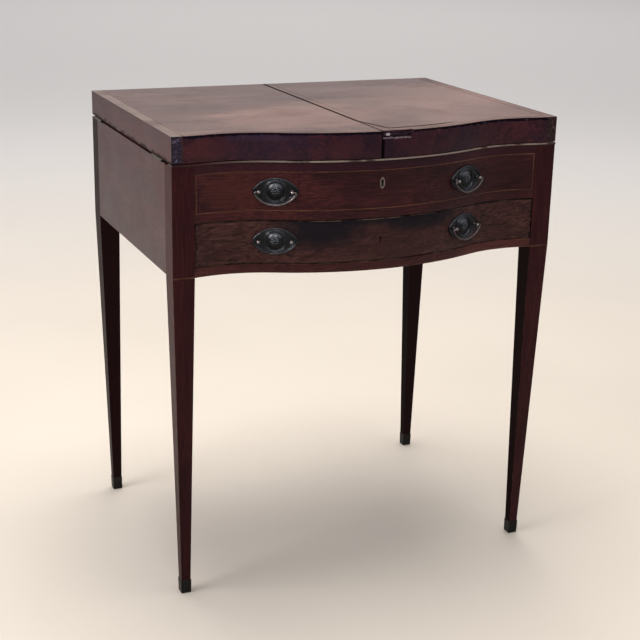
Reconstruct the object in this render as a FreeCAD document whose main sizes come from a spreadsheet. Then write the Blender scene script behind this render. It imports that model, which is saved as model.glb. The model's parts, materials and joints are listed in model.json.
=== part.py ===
"""Serpentine mahogany dressing table: two leaves that fold outwards, a fitted well and one drawer.

Millimetres. +X is to the right of someone who stands in front, +Y runs to the back and +Z is up.
The origin is on the floor, under the middle of the whole object.
"""
import FreeCAD, Part
import math
import os
import re

import Sketcher

# Driving sizes. Names that end in Gap or Clearance are the running and seating fits.
SIZES = {
    # The whole object
    "tableHeight": 840,
    "tableWidth": 730,
    "caseDepth": 524,
    "overrun": 5,
    # The serpentine front, from the straight line between the two front corners
    "frontBulge": 50,
    "frontRecess": 6,
    "recessFromLeg": 51,
    # Legs
    "legWidth": 39,
    "legFootWidth": 16.3,
    "footInsetAcross": 14.7,
    "footInsetDeep": 16,
    "capHeight": 26,
    "capProud": 1,
    "capSole": 3,
    "capRound": 1.4,
    "capClearance": 0.15,
    # Case
    "caseHeight": 190.5,
    "fasciaHeight": 98.5,
    "railThickness": 16,
    "railDepth": 60,
    "frontThickness": 20,
    "sideThickness": 18,
    "backThickness": 16,
    "wellFloorThickness": 8,
    "beadHeight": 3.6,
    "beadProjection": 1.5,
    "beadLidGap": 1.4,
    # Stringing let into the fascia and the front legs
    "stringWidth": 1.6,
    "stringDepth": 0.8,
    "stringSideMargin": 2.5,
    "stringTopMargin": 14.5,
    "stringBottomMargin": 16.5,
    # Runners and stops
    "runnerWidth": 16,
    "runnerClearance": 0.3,
    "guideHeight": 20,
    "stopPlace": 100,
    "stopWidth": 30,
    "stopDepth": 31.5,
    "stopHeight": 3.5,
    # Drawer
    "drawerGap": 1,
    "drawerBackGap": 28,
    "drawerSideThickness": 10,
    "drawerBottomThickness": 6,
    "drawerBottomRaise": 4,
    # Leaves of the top
    "lidThickness": 45.5,
    "lidGap": 4.5,
    "seamGap": 1,
    "seamPlace": 8,
    "lippingWidth": 14,
    "cleatWidth": 20,
    # Leaf hinges
    "hingeLength": 58,
    "frontHingePlace": 46,
    "backHingePlace": 22,
    "hingeLeafWidth": 16,
    "hingeLeafThickness": 2,
    "hingeAxisOut": 1.5,
    "knuckleRadius": 2.4,
    "knuckleGap": 0.3,
    "pinRadius": 1,
    "pinClearance": 0.05,
    "screwHeadRadius": 3,
    "screwRadius": 1.5,
    "screwLength": 13,
    "screwClearance": 0.1,
    "screwSpacing": 21,
    # Fitted well
    "partitionThickness": 8,
    "partitionToHandle": 54,
    "lidRestGap": 0.3,
    "crossPartitionPlace": 260,
    "crossPartitionThickness": 6,
    "crossPartitionHeight": 70,
    # Dressing glass stored flat in the well
    "mirrorLidGap": 10,
    "mirrorFrameThickness": 16,
    "mirrorFrameWidth": 22,
    "mirrorFramePlace": 60,
    "mirrorFrameLength": 330,
    "mirrorClearance": 1.5,
    "mirrorLip": 4,
    "mirrorRebate": 6,
    "rebateClearance": 0.3,
    "glassThickness": 4,
    "backboardThickness": 6,
    "mirrorPinRadius": 2.5,
    "mirrorPinLength": 12,
    "mirrorPinInset": 10,
    "ratchetPlace": 200,
    "ratchetLength": 170,
    "ratchetWidth": 7,
    "ratchetHeight": 17,
    "ratchetPitch": 18,
    "ratchetNotchWidth": 5,
    "ratchetNotchDepth": 4,
    "strutPlace": 210,
    "strutLength": 150,
    "strutBarWidth": 16,
    "strutThickness": 7,
    "strutClearance": 3,
    # Oval handles
    "handleFromMeeting": 9.5,
    "handleShift": 7.8,
    "lowerHandleRise": 2,
    "plateWidth": 77,
    "plateHeight": 46.5,
    "plateThickness": 1.2,
    "plateRimWidth": 2.4,
    "plateRimHeight": 1,
    "bossRadius": 14.5,
    "bossHeight": 6,
    "bossRingRadius": 18.2,
    "bossRingThickness": 0.75,
    "bossRingRise": 0.25,
    "bossStudRadius": 3,
    "postSpacing": 56.5,
    "postStandoff": 10,
    "postRadius": 1.7,
    "postBallRadius": 3.2,
    "postHoleClearance": 0.2,
    "collarRadius": 3,
    "collarHeight": 4,
    "nutRadius": 4.5,
    "nutHeight": 3.5,
    "bailRodRadius": 1.9,
    "bailPinRadius": 1.2,
    "bailPinReach": 1.5,
    "bailShoulderGap": 0.3,
    "bailBend": 3.2,
    "bailDrop": 22.2,
    # Locks
    "keyholePlace": 7,
    "keyholeRadius": 2,
    "keySlotWidth": 1.8,
    "keySlotDrop": 8,
    "keyRise": 3,
    "boltPlace": 17,
    "boltWidth": 10,
    "boltThickness": 5,
    "boltInset": 4,
    "boltClearance": 0.3,
    "boltLength": 22,
    "mortiseClearance": 0.5,
    "mortiseDepth": 8,
    "strikeThickness": 1.5,
    "strikeWidth": 15,
    "strikeDepth": 14,
    "lockWidth": 44,
    "lockHeight": 46,
    "lockDepth": 13,
    "lockTopInset": 6,
    "escutcheonHeight": 22,
    "escutcheonWidth": 10,
    "escutcheonThickness": 1.4,
    "escutcheonProud": 0.4,
    "floorMortiseDepth": 6,
}

# Sizes worked out from the driving ones.
DERIVED = {
    "halfWidth": "tableWidth / 2",
    "legInner": "halfWidth - legWidth",
    "sideInner": "halfWidth - sideThickness",
    "frontPlane": "-(caseDepth + frontBulge + beadProjection) / 2",
    "cornerPlane": "frontPlane + frontBulge + beadProjection",
    "backPlane": "cornerPlane + caseDepth",
    "backInner": "backPlane - backThickness",
    "lidBottom": "tableHeight - lidThickness",
    "caseTop": "lidBottom - lidGap",
    "beadBottom": "lidBottom - beadLidGap - beadHeight",
    "caseBottom": "beadBottom - caseHeight",
    "fasciaBottom": "beadBottom - fasciaHeight",
    "railTop": "caseBottom + railThickness",
    "wellFloorTop": "fasciaBottom + wellFloorThickness",
    "partitionTop": "lidBottom - lidRestGap",
    # The serpentine line is a bulging arc between two hollow ones, tangent where they meet.
    "recessPlace": "legInner - recessFromLeg",
    "waveRise": "frontBulge + frontRecess",
    "radiusSum": "(recessPlace^2 + waveRise^2) / (2 * waveRise)",
    "hollowRadius": "(recessFromLeg^2 + frontRecess^2) / (2 * frontRecess)",
    "bulgeRadius": "radiusSum - hollowRadius",
    "bulgeCentre": "beadProjection + bulgeRadius",
    "cornerDepth": "beadProjection + frontBulge",
    "hollowCentre": "cornerDepth + frontRecess - hollowRadius",
    # Drawer
    "drawerHalf": "legInner - drawerGap",
    "drawerFrontBottom": "railTop + drawerGap",
    "drawerTop": "fasciaBottom - drawerGap",
    "drawerSideBottom": "railTop + runnerClearance",
    "drawerSideInner": "drawerHalf - drawerSideThickness",
    "drawerBottomUnder": "drawerSideBottom + drawerBottomRaise",
    "drawerBottomTop": "drawerBottomUnder + drawerBottomThickness",
    "drawerBack": "backInner - drawerBackGap",
    "stopFront": "frontPlane + bulgeCentre - sqrt(bulgeRadius^2 - stopPlace^2) + frontThickness",
    # Fascia panel framed by the stringing
    "stringTop": "beadBottom - stringTopMargin",
    "stringBottom": "fasciaBottom + stringBottomMargin",
    "stringHalf": "legInner - stringSideMargin",
    # Leaf hinges
    "hingeAxisPlace": "halfWidth + hingeAxisOut",
    "hingeAxisHeight": "caseTop + lidGap / 2",
    "hingeLeafStart": "hingeAxisPlace - knuckleRadius - knuckleGap",
    "hingeLeafEnd": "halfWidth - hingeLeafWidth",
    "screwPlace": "(hingeLeafStart + hingeLeafEnd) / 2",
    "knuckleLength": "hingeLength / 5",
    # Handles. Each pair stands as far to the left of the middle as the seam does.
    "upperHandleHeight": "(stringTop + stringBottom) / 2",
    "lowerHandleHeight": "(drawerFrontBottom + drawerTop) / 2 + lowerHandleRise",
    "handlePlace": "recessPlace * bulgeRadius / radiusSum - handleFromMeeting",
    "postPlace": "postSpacing / 2",
    "plateTipRadius": "plateWidth / 2 - postPlace",
    "plateCrown": "plateHeight / 2 - plateTipRadius",
    "plateArcRadius": "(postPlace^2 + plateCrown^2) / (2 * plateCrown) + plateTipRadius",
    "plateArcDrop": "plateArcRadius - plateHeight / 2",
    "bossSphereRadius": "(bossRadius^2 + bossHeight^2) / (2 * bossHeight)",
    "bailShoulder": "postPlace + postBallRadius + bailShoulderGap",
    "bailReach": "bailDrop - bailBend",
    "bailSweepRadius": "(bailShoulder^2 + bailReach^2 - bailBend^2) / (2 * (bailReach - bailBend))",
    # Locks
    "keyholeHeight": "upperHandleHeight + stringTopMargin - boltInset",
    "boltFront": "cornerPlane - frontBulge + frontThickness + boltInset",
    "boltBack": "boltFront + boltThickness",
    "boltMiddle": "(boltFront + boltBack) / 2",
    "lockBack": "cornerPlane - frontBulge + frontThickness + lockDepth",
    "lidLockTop": "caseTop - lockTopInset",
    "drawerLockTop": "drawerTop - lockTopInset",
    # Mirror
    "mirrorTop": "caseTop - mirrorLidGap",
    "mirrorUnder": "mirrorTop - mirrorFrameThickness",
    "mirrorHalf": "partitionPlace - partitionThickness / 2 - mirrorClearance",
    "mirrorFront": "cornerPlane + mirrorFramePlace",
    "mirrorBack": "mirrorFront + mirrorFrameLength",
    "mirrorPinHeight": "mirrorTop - mirrorFrameThickness / 2",
    "partitionPlace": "handlePlace - partitionToHandle",
    "bayHalf": "partitionPlace - partitionThickness / 2",
}

# The side of the middle, written as the sign that a place takes there.
LEFT, RIGHT = "-1", "1"
FRONT, BACK = "front", "back"
SIDES = {"left": LEFT, "right": RIGHT}
X_AXIS = FreeCAD.Vector(1, 0, 0)
Z_AXIS = FreeCAD.Vector(0, 0, 1)
# Turns that point a primitive's own +Z axis to the front, to the back, across and down.
TO_FRONT = FreeCAD.Rotation(X_AXIS, 90)
TO_BACK = FreeCAD.Rotation(X_AXIS, -90)
ACROSS = FreeCAD.Rotation(FreeCAD.Vector(0, 1, 0), 90)
DOWN = FreeCAD.Rotation(X_AXIS, 180)
# The points of an edge and the two axes of a sketch, as the sketcher counts them.
START, END, CENTRE = range(1, 4)
ACROSS_AXIS, UP_AXIS = range(-1, -3, -1)

doc = FreeCAD.newDocument("DressingTable")
sheet = doc.addObject("Spreadsheet::Sheet", "Sizes")
for row, (name, size) in enumerate(SIZES.items(), start=1):
    sheet.set(f"A{row}", name)
    sheet.set(f"B{row}", str(size))
    sheet.setAlias(f"B{row}", name)
doc.recompute()

parts = []


def formula(text):
    """Write out a sum of named sizes as an expression on the spreadsheet."""
    def spelled(word):
        if word[0] in SIZES:
            return f"Sizes.{word[0]}"
        if word[0] in DERIVED:
            return f"({formula(DERIVED[word[0]])})"
        return word[0]
    return re.sub(r"[A-Za-z]\w*", spelled, text)


def value(text):
    """Return the number that a sum of named sizes comes to."""
    return float(getattr(result := sheet.evalExpression(formula(text)), "Value", result))


def bind(target, **sums):
    """Bind properties of a document object to sums of named sizes."""
    for name, text in sums.items():
        target.setExpression(name, formula(text))


def place(target, x="0", y="0", z="0", turn=None):
    """Put an object at named sizes, with a fixed turn if one is given."""
    if turn:
        target.Placement = FreeCAD.Placement(FreeCAD.Vector(), turn)
    for axis, text in (("x", x), ("y", y), ("z", z)):
        target.setExpression(f"Placement.Base.{axis}", formula(text))
    return target


def add(kind, label):
    """Add a document object with a label."""
    made = doc.addObject(kind, label)
    made.Label = label
    return made


def part(shape, label):
    """Name a finished object as one piece of the table."""
    shape.Label = label
    parts.append(shape)
    return shape


def slab(label, x, y, z):
    """Add a box between a low and a high place on each axis."""
    made = add("Part::Box", label)
    for side, (low, high) in (("Length", x), ("Width", y), ("Height", z)):
        bind(made, **{side: f"({high}) - ({low})"})
    return place(made, x[0], y[0], z[0])


def mirrored(side, near, far):
    """Return the low and high x of a span that runs outwards from near to far on one side."""
    return (near, far) if side == RIGHT else (f"-({far})", f"-({near})")


def cylinder(label, radius, height, x="0", y="0", z="0", turn=None):
    """Add a round bar."""
    made = add("Part::Cylinder", label)
    bind(made, Radius=radius, Height=height)
    return place(made, x, y, z, turn)


def extrude(label, edge, thickness):
    """Thicken a closed flat edge, half to each side."""
    made = add("Part::Extrusion", label)
    made.Base = edge
    made.DirMode = "Normal"
    made.Solid = True
    made.Symmetric = True
    bind(made, LengthFwd=thickness)
    return made


def fuse(label, *shapes):
    """Join shapes into one."""
    made = add("Part::MultiFuse", label)
    made.Shapes = list(shapes)
    return made


def cut(label, base, tool):
    """Cut one shape out of another."""
    made = add("Part::Cut", label)
    made.Base, made.Tool = base, tool
    return made


def common(label, base, tool):
    """Keep what two shapes share."""
    made = add("Part::Common", label)
    made.Base, made.Tool = base, tool
    return made


def group(label, *shapes):
    """Keep separate solids together in one object."""
    made = add("Part::Compound", label)
    made.Links = list(shapes)
    return made


def dimension(sketch, text, kind, *points):
    """Add a dimension to a sketch and bind it to a sum of named sizes."""
    index = sketch.addConstraint(Sketcher.Constraint(kind, *points, value(text)))
    sketch.setExpression(f"Constraints[{index}]", formula(text))


def tie(sketch, kind, *points):
    """Add a constraint without a size."""
    sketch.addConstraint(Sketcher.Constraint(kind, *points))


def new_sketch(body, label, plane="XY_Plane"):
    """Add a sketch on one of its body's own origin planes."""
    sketch = body.newObject("Sketcher::SketchObject", label)
    planes = {feature.Role: feature for feature in body.Origin.OriginFeatures}
    sketch.AttachmentSupport = (planes[plane], "")
    sketch.MapMode = "FlatFace"
    return sketch


def arc(centre_x, centre_y, radius, low, high):
    """Return an arc that runs anticlockwise from the low to the high angle, in radians."""
    circle = Part.Circle(FreeCAD.Vector(centre_x, centre_y, 0), Z_AXIS, radius)
    return Part.ArcOfCircle(circle, low, high)


def line(start, end):
    """Return a straight edge."""
    return Part.LineSegment(FreeCAD.Vector(*start, 0), FreeCAD.Vector(*end, 0))


def wave(sketch, forward, half_span, flats):
    """Draw the serpentine line, moved forward, between plus and minus half_span.

    With flats the line runs on straight over the legs. Returns its left and right end points,
    each as a geometry index and a point, and as coordinates.
    """
    bulge_radius = f"bulgeRadius + ({forward})"
    hollow_radius = f"hollowRadius - ({forward})"
    level = f"cornerDepth - ({forward})"
    reach, half = value("recessPlace"), value(half_span)
    bulge_y, hollow_y, hollow = value("bulgeCentre"), value("hollowCentre"), value(hollow_radius)
    meeting = math.atan2(hollow_y - bulge_y, reach)
    if flats:
        ending = math.asin((value(level) - hollow_y) / hollow)
    else:
        ending = math.acos((half - reach) / hollow)
    middle = sketch.addGeometry(arc(0, bulge_y, value(bulge_radius), -math.pi - meeting, meeting))
    right = sketch.addGeometry(arc(reach, hollow_y, hollow, ending, math.pi + meeting))
    left = sketch.addGeometry(arc(-reach, hollow_y, hollow, -meeting, math.pi - ending))
    tie(sketch, "PointOnObject", middle, CENTRE, UP_AXIS)
    dimension(sketch, "bulgeCentre", "DistanceY", ACROSS_AXIS, START, middle, CENTRE)
    dimension(sketch, bulge_radius, "Radius", middle)
    dimension(sketch, "recessPlace", "DistanceX", ACROSS_AXIS, START, right, CENTRE)
    dimension(sketch, "recessPlace", "DistanceX", left, CENTRE, ACROSS_AXIS, START)
    for hollow_arc, near, mine in ((right, END, END), (left, START, START)):
        dimension(sketch, hollow_radius, "Radius", hollow_arc)
        tie(sketch, "Tangent", middle, near, hollow_arc, mine)
    end_x = reach + hollow * math.cos(ending)
    end_y = hollow_y + hollow * math.sin(ending)
    if not flats:
        dimension(sketch, half_span, "DistanceX", left, END, ACROSS_AXIS, START)
        dimension(sketch, half_span, "DistanceX", ACROSS_AXIS, START, right, START)
        return ((left, END), (-end_x, end_y)), ((right, START), (end_x, end_y))
    left_flat = sketch.addGeometry(line((-end_x, end_y), (-half, end_y)))
    right_flat = sketch.addGeometry(line((end_x, end_y), (half, end_y)))
    for flat, hollow_arc, point in ((left_flat, left, END), (right_flat, right, START)):
        tie(sketch, "Coincident", flat, START, hollow_arc, point)
        tie(sketch, "Horizontal", flat)
        dimension(sketch, level, "DistanceY", ACROSS_AXIS, START, flat, END)
    dimension(sketch, half_span, "DistanceX", left_flat, END, ACROSS_AXIS, START)
    dimension(sketch, half_span, "DistanceX", ACROSS_AXIS, START, right_flat, END)
    return ((left_flat, END), (-half, end_y)), ((right_flat, END), (half, end_y))


def raise_pad(body, sketch, bottom, top):
    """Pad a plan sketch from one height to another, with its own y starting at the front plane."""
    pad = body.newObject("PartDesign::Pad", body.Label + "_pad")
    pad.Profile = sketch
    bind(pad, Length=f"({top}) - ({bottom})")
    return place(body, y="frontPlane", z=bottom)


def plan(label, forward, half_span, bottom, top, back="backInner", flats=False):
    """Add everything behind the serpentine line, up to a straight back."""
    body = add("PartDesign::Body", label)
    sketch = new_sketch(body, label + "_sketch")
    (left_end, left_at), (right_end, right_at) = wave(sketch, forward, half_span, flats)
    depth = value(f"{back} - frontPlane")
    left_side = sketch.addGeometry(line(left_at, (left_at[0], depth)))
    right_side = sketch.addGeometry(line(right_at, (right_at[0], depth)))
    rear = sketch.addGeometry(line((left_at[0], depth), (right_at[0], depth)))
    for side, end, rear_point in ((left_side, left_end, START), (right_side, right_end, END)):
        tie(sketch, "Coincident", side, START, *end)
        tie(sketch, "Vertical", side)
        tie(sketch, "Coincident", side, END, rear, rear_point)
    tie(sketch, "Horizontal", rear)
    dimension(sketch, f"{back} - frontPlane", "DistanceY", ACROSS_AXIS, START, rear, START)
    return raise_pad(body, sketch, bottom, top)


def band(label, forward, backward, half_span, bottom, top, flats=False):
    """Add a board that follows the serpentine line, from forward of it to backward of it."""
    body = add("PartDesign::Body", label)
    sketch = new_sketch(body, label + "_sketch")
    (left_end, left_at), (right_end, right_at) = wave(sketch, forward, half_span, flats)
    (left_rear, left_back), (right_rear, right_back) = wave(sketch, f"-({backward})", half_span, flats)
    for end, start_at, rear, end_at in ((left_end, left_at, left_rear, left_back),
                                        (right_end, right_at, right_rear, right_back)):
        side = sketch.addGeometry(line(start_at, end_at))
        tie(sketch, "Coincident", side, START, *end)
        tie(sketch, "Coincident", side, END, *rear)
    return raise_pad(body, sketch, bottom, top)


# Shared regions that curved pieces are trimmed to.
interior = plan("interior_region", "-frontThickness", "sideInner", "caseBottom", "tableHeight",
                flats=True)
plate_region = plan("plate_region", "plateThickness", "legInner", "caseBottom", "beadBottom")


def tapered(label, side, depth, top, bottom, grow="0"):
    """Add a stretch of a leg's four-sided taper, grown on all faces."""
    made = add("Part::Wedge", label)
    for suffix, height in (("", top), ("2", bottom)):
        fall = f"((caseBottom - ({height})) / caseBottom)"
        for axis, inset, turned in (("X", "footInsetAcross", side == RIGHT),
                                    ("Z", "footInsetDeep", depth == BACK)):
            low = f"{inset} * {fall} - ({grow})"
            high = f"legWidth - (legWidth - legFootWidth - {inset}) * {fall} + ({grow})"
            if turned:
                low, high = f"-({high})", f"-({low})"
            bind(made, **{f"{axis}{suffix}min": low, f"{axis}{suffix}max": high})
    made.Ymin = 0
    bind(made, Ymax=f"({top}) - ({bottom})")
    x = "halfWidth" if side == RIGHT else "-halfWidth"
    y = "backPlane" if depth == BACK else "cornerPlane"
    return place(made, x, y, top, TO_BACK)


def leg_span(depth):
    """Return the low and high y of the front or the back legs."""
    if depth == FRONT:
        return "cornerPlane", "cornerPlane + legWidth"
    return "backPlane - legWidth", "backPlane"


def leg_string(side):
    """Add the line of stringing that crosses a front leg at the bottom of the case."""
    return slab(f"leg_string_{side}", mirrored(side, "legInner", "halfWidth"),
                ("cornerPlane", "cornerPlane + stringDepth"),
                ("caseBottom", "caseBottom + stringWidth"))


def legs():
    """Four legs, each a square post with a four-sided taper, and their black foot caps."""
    caps = []
    for depth in (FRONT, BACK):
        for side_name, side in SIDES.items():
            name = f"{depth}_{side_name}"
            top = "beadBottom" if depth == FRONT else "caseTop"
            post = slab(f"{name}_post", mirrored(side, "legInner", "halfWidth"),
                        leg_span(depth), ("caseBottom", top))
            leg = fuse(f"{name}_whole", post, tapered(f"{name}_taper", side, depth,
                                                      "caseBottom", "capSole"))
            if depth == FRONT:
                leg = cut(f"{name}_strung", leg, leg_strings[side])
            else:
                leg = cut(f"{name}_drilled", leg, case_screw_holes)
            part(leg, f"{name}_leg")
            block = tapered(f"{name}_cap_block", side, depth, "capHeight", "0", "capProud")
            socket = tapered(f"{name}_cap_socket", side, depth, "capHeight + overrun", "capSole",
                             "capClearance")
            caps.append(cut(f"{name}_cap", rounded_foot(block), socket))
    part(group("caps", *caps), "foot_caps")


def rounded_foot(block):
    """Round the four lowest edges of a foot cap."""
    doc.recompute()
    made = add("Part::Fillet", block.Label + "_rounded")
    made.Base = block
    radius = value("capRound")
    low = [index for index, edge in enumerate(block.Shape.Edges, start=1)
           if max(vertex.Z for vertex in edge.Vertexes) < radius]
    made.Edges = [(index, radius, radius) for index in low]
    return made


def keyhole(label, x, y, z, depth):
    """Add the round and slotted shape of a keyhole that runs back from y."""
    bow = cylinder(f"{label}_round", "keyholeRadius", depth, x, y, f"{z} + keyRise", TO_BACK)
    slot = slab(f"{label}_slot", (f"{x} - keySlotWidth / 2", f"{x} + keySlotWidth / 2"),
                (y, f"{y} + {depth}"), (f"{z} + keyRise - keySlotDrop", f"{z} + keyRise"))
    return fuse(label, bow, slot)


def at_handle(target, side, height):
    """Put a handle's own shape, drawn about its middle, on the serpentine front."""
    across = f"({side} * handlePlace - handleShift)"
    target.Placement = FreeCAD.Placement()
    place(target, across, f"frontPlane + bulgeCentre - sqrt(bulgeRadius^2 - {across}^2)", height)
    target.setExpression("Placement.Rotation.Angle", formula(f"asin({across} / bulgeRadius)"))
    return target


def post_bars(label, side, height, radius, near, far, offset="0"):
    """Add a pair of round bars that run back from near to far at a handle's two posts."""
    bars = [cylinder(f"{label}_{end}", radius, f"({far}) - ({near})", f"{end} * postPlace", near,
                     offset, TO_BACK) for end in (LEFT, RIGHT)]
    return at_handle(group(label, *bars), side, height)


def post_pair(label, side, height):
    """Two handle posts: a ball drilled for the bail, a neck, a collar and a shank."""
    shanks = post_bars(f"{label}_shanks", side, height, "postRadius", "-postStandoff",
                       "frontThickness + nutHeight + overrun / 2")
    balls = []
    for end in (LEFT, RIGHT):
        ball = add("Part::Sphere", f"{label}_ball_{end}")
        bind(ball, Radius="postBallRadius")
        balls.append(place(ball, f"{end} * postPlace", "-postStandoff"))
    balls = at_handle(group(f"{label}_balls", *balls), side, height)
    collars = cut(f"{label}_collars",
                  post_bars(f"{label}_collar_bars", side, height, "collarRadius",
                            "-collarHeight", "collarHeight"), plate_region)
    bore = cylinder(f"{label}_bore", "bailPinRadius + pinClearance",
                    "postSpacing + 4 * postBallRadius", "-(postPlace + 2 * postBallRadius)",
                    "-postStandoff", "0", ACROSS)
    bore = at_handle(group(f"{label}_bores", bore), side, height)
    return cut(label, fuse(f"{label}_solid", shanks, balls, collars), bore)


def nut_pair(label, side, height):
    """Two square nuts, seated on the curved back of the board behind a handle."""
    nuts = []
    for end in (LEFT, RIGHT):
        nut = add("Part::Prism", f"{label}_nut_{end}")
        nut.Polygon = 4
        bind(nut, Circumradius="nutRadius", Height="nutHeight + overrun")
        nuts.append(place(nut, f"{end} * postPlace", "frontThickness - overrun", "0", TO_BACK))
    nuts = at_handle(group(f"{label}_blanks", *nuts), side, height)
    seated = common(f"{label}_seated", nuts, interior)
    return cut(label, seated, post_bars(f"{label}_bores", side, height,
                                        "postRadius + pinClearance", "0", "2 * frontThickness"))


def oval(label, inset, side, height):
    """Add a bar through a handle's plate, inset from its edge: a pointed oval, rounded about the posts."""
    edge = add("Sketcher::SketchObject", f"{label}_edge")
    wide, tip = f"plateArcRadius - ({inset})", f"plateTipRadius - ({inset})"
    post, drop = value("postPlace"), value("plateArcDrop")
    turn = math.atan2(drop, post)
    top = edge.addGeometry(arc(0, -drop, value(wide), turn, math.pi - turn))
    left = edge.addGeometry(arc(-post, 0, value(tip), math.pi - turn, math.pi + turn))
    low = edge.addGeometry(arc(0, drop, value(wide), math.pi + turn, 2 * math.pi - turn))
    right = edge.addGeometry(arc(post, 0, value(tip), -turn, turn))
    tie(edge, "PointOnObject", top, CENTRE, UP_AXIS)
    dimension(edge, "plateArcDrop", "DistanceY", top, CENTRE, ACROSS_AXIS, START)
    for large in (top, low):
        dimension(edge, wide, "Radius", large)
    for small in (left, right):
        tie(edge, "PointOnObject", small, CENTRE, ACROSS_AXIS)
    dimension(edge, "postPlace", "DistanceX", left, CENTRE, ACROSS_AXIS, START)
    dimension(edge, "postPlace", "DistanceX", ACROSS_AXIS, START, right, CENTRE)
    for first, second in ((right, top), (top, left), (left, low), (low, right)):
        tie(edge, "Tangent", first, END, second, START)
    place(edge, turn=TO_FRONT)
    return at_handle(group(label, extrude(f"{label}_bar", edge, "frontThickness")), side, height)


def backplate(name, side, height):
    """A pointed oval backplate bent to the serpentine front, with a rim and a ringed round boss."""
    thick = common(f"{name}_thick", oval(f"{name}_oval", "0", side, height), rim_band)
    field = cut(f"{name}_field", oval(f"{name}_field_oval", "plateRimWidth", side, height), plate_region)
    rimmed = cut(f"{name}_rimmed", thick, field)
    cap = add("Part::Sphere", f"{name}_cap")
    bind(cap, Radius="bossSphereRadius", Angle1="asin((bossSphereRadius - bossHeight) / bossSphereRadius)")
    place(cap, y="bossSphereRadius - bossHeight - plateThickness / 2", turn=TO_FRONT)
    ring = add("Part::Torus", f"{name}_ring")
    bind(ring, Radius1="bossRingRadius", Radius2="bossRingThickness")
    place(ring, y="-(plateThickness + bossRingRise)", turn=TO_FRONT)
    stud = add("Part::Sphere", f"{name}_stud")
    bind(stud, Radius="bossStudRadius")
    place(stud, y="-bossHeight + bossStudRadius / 2")
    relief = at_handle(fuse(f"{name}_relief", cap, ring, stud), side, height)
    plate = fuse(f"{name}_plate", rimmed, relief)
    holes = post_bars(f"{name}_holes", side, height, "postRadius + postHoleClearance",
                      "-frontThickness", "frontThickness")
    part(cut(f"{name}_drilled", plate, holes), f"{name}_backplate")


def bail(name, side, height):
    """A hanging bail: a rod bent round below the posts, with a thin pin at each end."""
    body = add("PartDesign::Body", f"{name}_rod")
    path = new_sketch(body, f"{name}_path", "XZ_Plane")
    shoulder, bend, drop = value("bailShoulder"), value("bailBend"), value("bailDrop")
    sweep = value("bailSweepRadius")
    meeting = math.atan2(drop - sweep - bend, shoulder)
    low = path.addGeometry(arc(0, sweep - drop, sweep, -math.pi - meeting, meeting))
    right = path.addGeometry(arc(shoulder, -bend, bend, meeting, math.pi / 2))
    left = path.addGeometry(arc(-shoulder, -bend, bend, math.pi / 2, math.pi - meeting))
    tie(path, "PointOnObject", low, CENTRE, UP_AXIS)
    dimension(path, "bailSweepRadius", "Radius", low)
    dimension(path, "bailSweepRadius - bailDrop", "DistanceY", ACROSS_AXIS, START, low, CENTRE)
    for turn, low_end, mine, top in ((right, END, START, END), (left, START, END, START)):
        tie(path, "Tangent", low, low_end, turn, mine)
        tie(path, "PointOnObject", turn, top, ACROSS_AXIS)
        tie(path, "Vertical", turn, CENTRE, turn, top)
    dimension(path, "bailShoulder", "DistanceX", ACROSS_AXIS, START, right, END)
    dimension(path, "bailShoulder", "DistanceX", left, START, ACROSS_AXIS, START)
    section = new_sketch(body, f"{name}_section", "YZ_Plane")
    section.AttachmentOffset = FreeCAD.Placement(FreeCAD.Vector(0, 0, -shoulder), FreeCAD.Rotation())
    section.setExpression("AttachmentOffset.Base.z", formula("-bailShoulder"))
    ring = section.addGeometry(Part.Circle(FreeCAD.Vector(), Z_AXIS, value("bailRodRadius")))
    tie(section, "Coincident", ring, CENTRE, ACROSS_AXIS, START)
    dimension(section, "bailRodRadius", "Radius", ring)
    doc.recompute()
    pipe = body.newObject("PartDesign::AdditivePipe", f"{name}_pipe")
    pipe.Profile = section
    pipe.Spine = (path, ["Edge1", "Edge2", "Edge3"])
    pin_length = "bailShoulder - postPlace + bailPinReach + bailBend"
    pins = [cylinder(f"{name}_pin_{end}", "bailPinRadius", pin_length,
                     "postPlace - bailPinReach" if end == RIGHT else "-(bailShoulder + bailBend)",
                     turn=ACROSS) for end in (LEFT, RIGHT)]
    whole = fuse(f"{name}_whole", body, *pins)
    place(whole, y="-postStandoff")
    part(at_handle(group(f"{name}_placed", whole), side, height), f"{name}_bail")


def handles():
    """Four oval handles. The lower left one has lost its bail."""
    for row, height in (("upper", "upperHandleHeight"), ("lower", "lowerHandleHeight")):
        posts, nuts = [], []
        for side_name, side in SIDES.items():
            name = f"{row}_{side_name}"
            backplate(name, side, height)
            posts.append(post_pair(f"{name}_posts", side, height))
            nuts.append(nut_pair(f"{name}_nuts", side, height))
            if name != "lower_left":
                bail(name, side, height)
        part(group(f"{row}_posts", *posts), f"{row}_handle_posts")
        part(group(f"{row}_nuts", *nuts), f"{row}_handle_nuts")


def front_holes(label, height):
    """Add the four holes for the handle posts of one row."""
    pairs = [post_bars(f"{label}_{side}", side, height, "postRadius + postHoleClearance",
                       "-frontThickness", "2 * frontThickness") for side in (LEFT, RIGHT)]
    return group(label, *pairs)


def escutcheon_oval(label, proud, thickness):
    """Add an upright oval at the upper keyhole, proud of the fascia."""
    edge = add("Part::Ellipse", f"{label}_edge")
    bind(edge, MajorRadius="escutcheonHeight / 2", MinorRadius="escutcheonWidth / 2")
    upright = FreeCAD.Rotation(Z_AXIS, -X_AXIS, FreeCAD.Vector(0, -1, 0), "ZXY")
    place(edge, "-keyholePlace", f"cornerPlane - frontBulge - ({proud}) + ({thickness}) / 2",
          "keyholeHeight", upright)
    return extrude(label, edge, thickness)


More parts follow.
